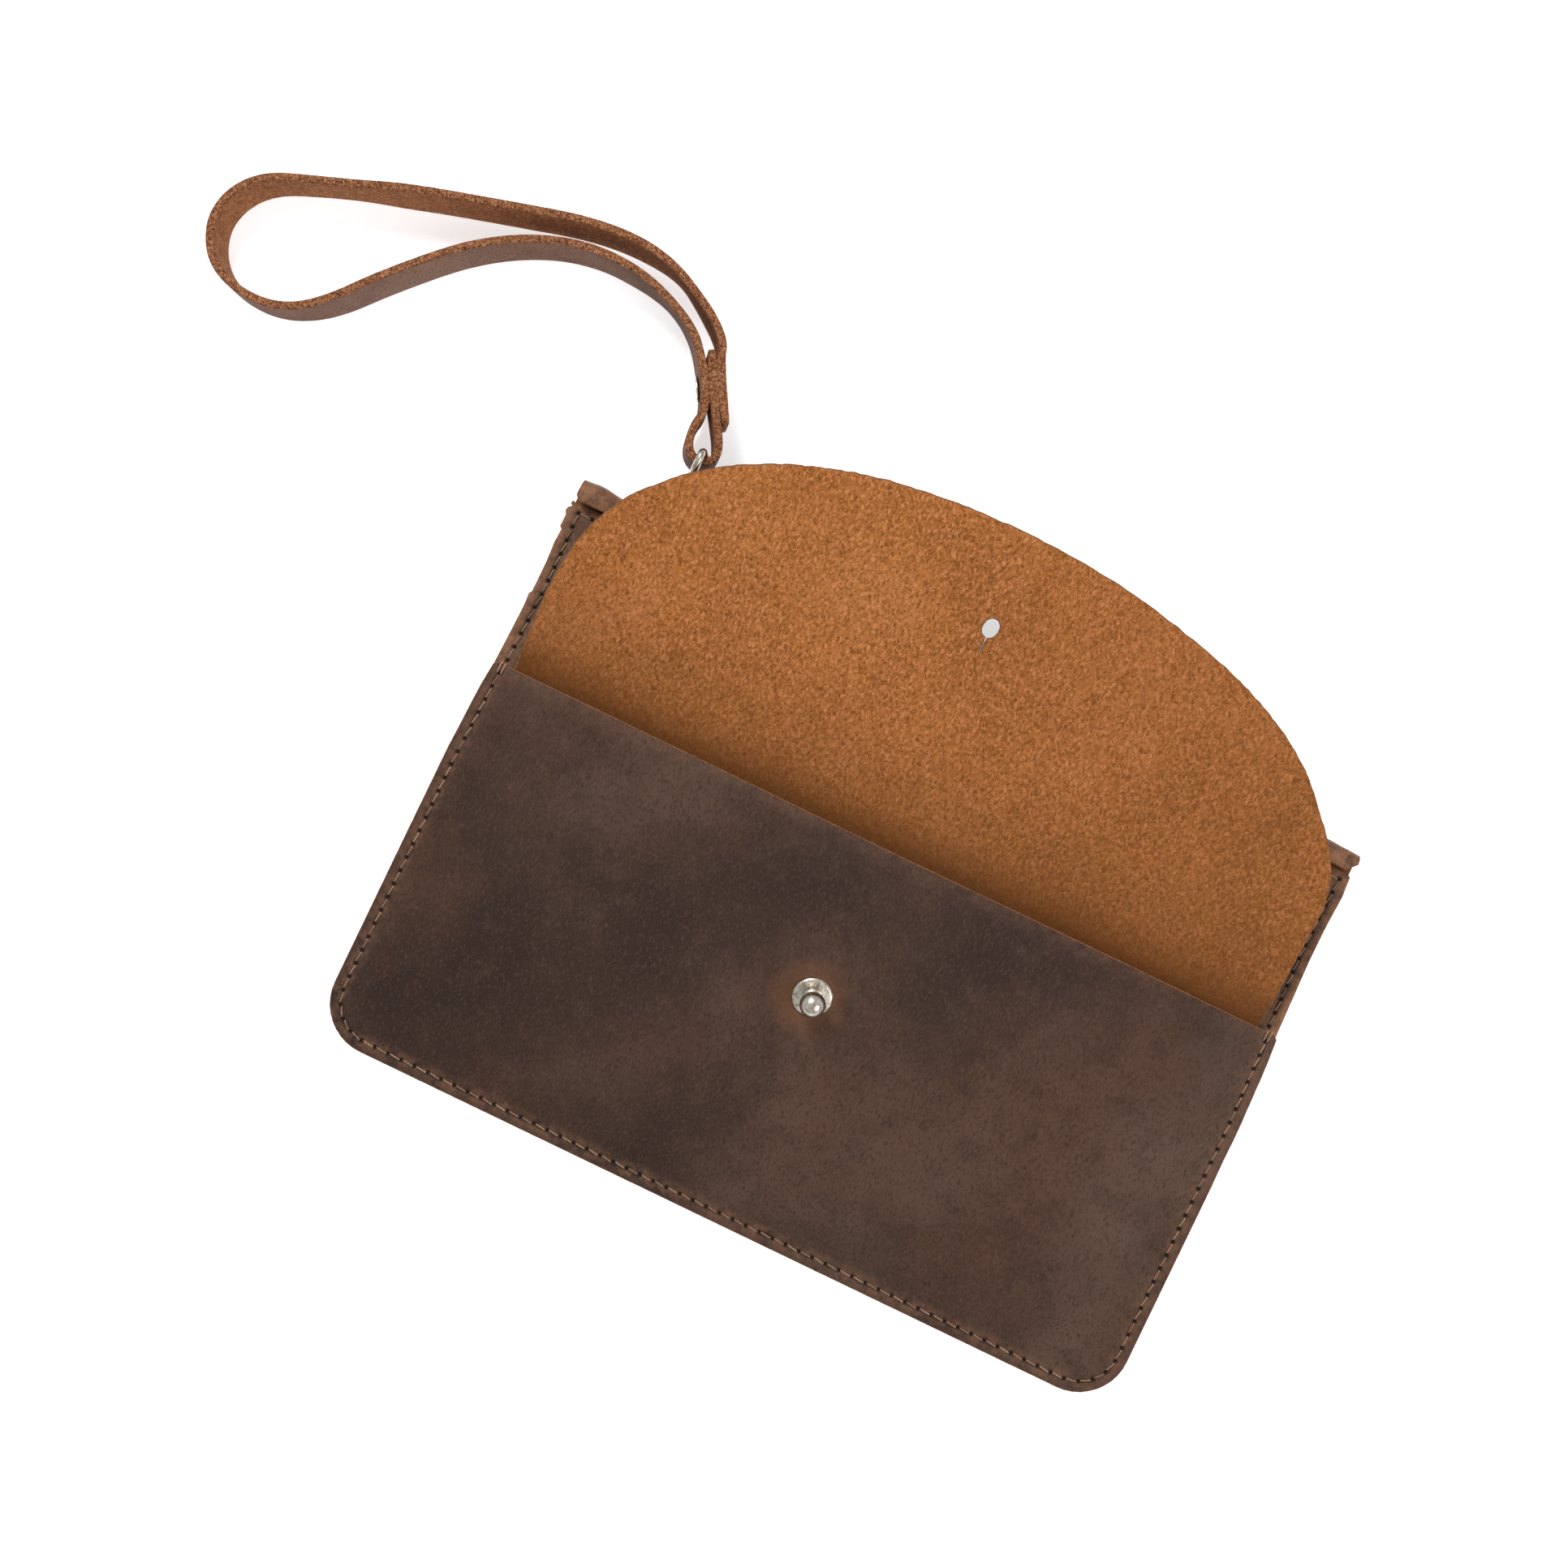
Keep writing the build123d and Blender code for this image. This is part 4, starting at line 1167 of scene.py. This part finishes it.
def make_ring():
    """The D-ring's round wire, swept round its own closed line."""
    half, corner, wire = 7.65, 1.65, 0.95
    bar = half - corner
    y0 = RING_Y - corner
    line = [(RING_Y, -bar + 2 * bar * k / 14) for k in range(15)]
    quarter = [math.pi / 2 * k / 6 for k in range(1, 7)]
    line += [(y0 + corner * math.cos(a), bar + corner * math.sin(a)) for a in quarter]
    line += [(y0 - half * math.sin(a), half * math.cos(a)) for a in [math.pi * k / 40 for k in range(1, 41)]]
    line += [(y0 + corner * math.sin(a), -bar - corner * math.cos(a)) for a in quarter[:-1]]
    rings = []
    n = len(line)
    for i, (y, z) in enumerate(line):
        ay, az = line[i - 1]
        by, bz = line[(i + 1) % n]
        size = math.hypot(by - ay, bz - az)
        oy, oz = (bz - az) / size, -(by - ay) / size
        rings.append([
            (RING_X + wire * math.sin(c), y + wire * math.cos(c) * oy, RING_Z + z + wire * math.cos(c) * oz)
            for c in [2 * math.pi * j / 20 for j in range(20)]
        ])
    ring = tube("d_ring_wire", rings, NICKEL, closed=True)
    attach(ring, "slider")
    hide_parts("d_ring")


def make_teeth(side):
    """One row of separate teeth, each a small waisted block with a rounded nose."""
    pitch, middle_y, verts, faces = 2.4, 1.45, [], []
    half = [(0.34, 0.70), (0.55, 0.86), (0.42, 1.05), (0.62, 1.35), (0.62, 2.15)]
    plan = [(-px, py) for px, py in reversed(half)] + half
    n = len(plan)
    x = -80.0 + (pitch / 2 if side > 0 else 0)
    while x < 80.6:
        for z, s in ((-1.0, 0.84), (-0.85, 1.0), (0.85, 1.0), (1.0, 0.84)):
            rows = [(x + px * s, side * (middle_y + (py - middle_y) * s)) for px, py in plan]
            verts += [(px, ZIP_Y + py, ZIP_Z + z) for px, py in rows]
        faces += ring_faces(n, 4, len(verts) - 4 * n, flip=side > 0)
        x += pitch
    name = "upper" if side > 0 else "lower"
    row = build(f"teeth_{name}", verts, faces, BRASS)
    for polygon in row.data.polygons:
        polygon.use_smooth = False
    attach(row, "wallet")
    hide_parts(f"zipper_teeth_{name}")


make_stud()
make_ring()
make_teeth(1)
make_teeth(-1)
CAD_MATERIALS = {
    "stud_screw": NICKEL, "slider_body": NICKEL, "slider_lug": NICKEL, "pull_tab": NICKEL,
    "zipper_bottom_stop": BRASS, "zipper_top_stops": BRASS,
    "zipper_tape_upper": TAPE, "zipper_tape_lower": TAPE,
}
for node, material in CAD_MATERIALS.items():
    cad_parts[node].data.materials.clear()
    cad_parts[node].data.materials.append(material)


# ---- floor and light ----
def make_floor():
    """A pale floor just under the wallet, faintly lit from within."""
    s = Shader("floor_paint")
    speck = s.noise(s.add("ShaderNodeTexCoord").outputs["Object"], 0.4, 3)
    s.give("Base Color", s.ramp(speck, (0.3, (0.86, 0.86, 0.86)), (0.7, (0.90, 0.90, 0.90))))
    s.give("Roughness", 0.85)
    s.give("Emission Color", (1, 1, 1, 1))
    s.give("Emission Strength", 0.55)
    r, z = 3000, -0.2
    build("floor", [(-r, -r, z), (r, -r, z), (r, r, z), (-r, r, z)], [(0, 1, 2, 3)], s.mat)


def area_light(name, place, size, power):
    """A round soft light that looks at the wallet."""
    data = bpy.data.lights.new(name, "AREA")
    data.shape = "DISK"
    data.size = size
    data.energy = power
    lamp = bpy.data.objects.new(name, data)
    lamp.location = place
    lamp.rotation_euler = (Vector((0, 0.03, 0)) - Vector(place)).to_track_quat("-Z", "Y").to_euler()
    bpy.context.scene.collection.objects.link(lamp)


make_floor()
area_light("key", (-0.75, 0.75, 1.15), 0.55, 15)
area_light("fill", (0.95, -0.2, 1.0), 0.9, 7)
world = bpy.data.worlds.new("studio")
world.use_nodes = True
sky = world.node_tree.nodes["Background"].inputs
sky["Color"].default_value, sky["Strength"].default_value = (0.93, 0.95, 1.0, 1), 0.62
bpy.context.scene.world = world
bpy.context.scene.view_settings.view_transform = "Standard"
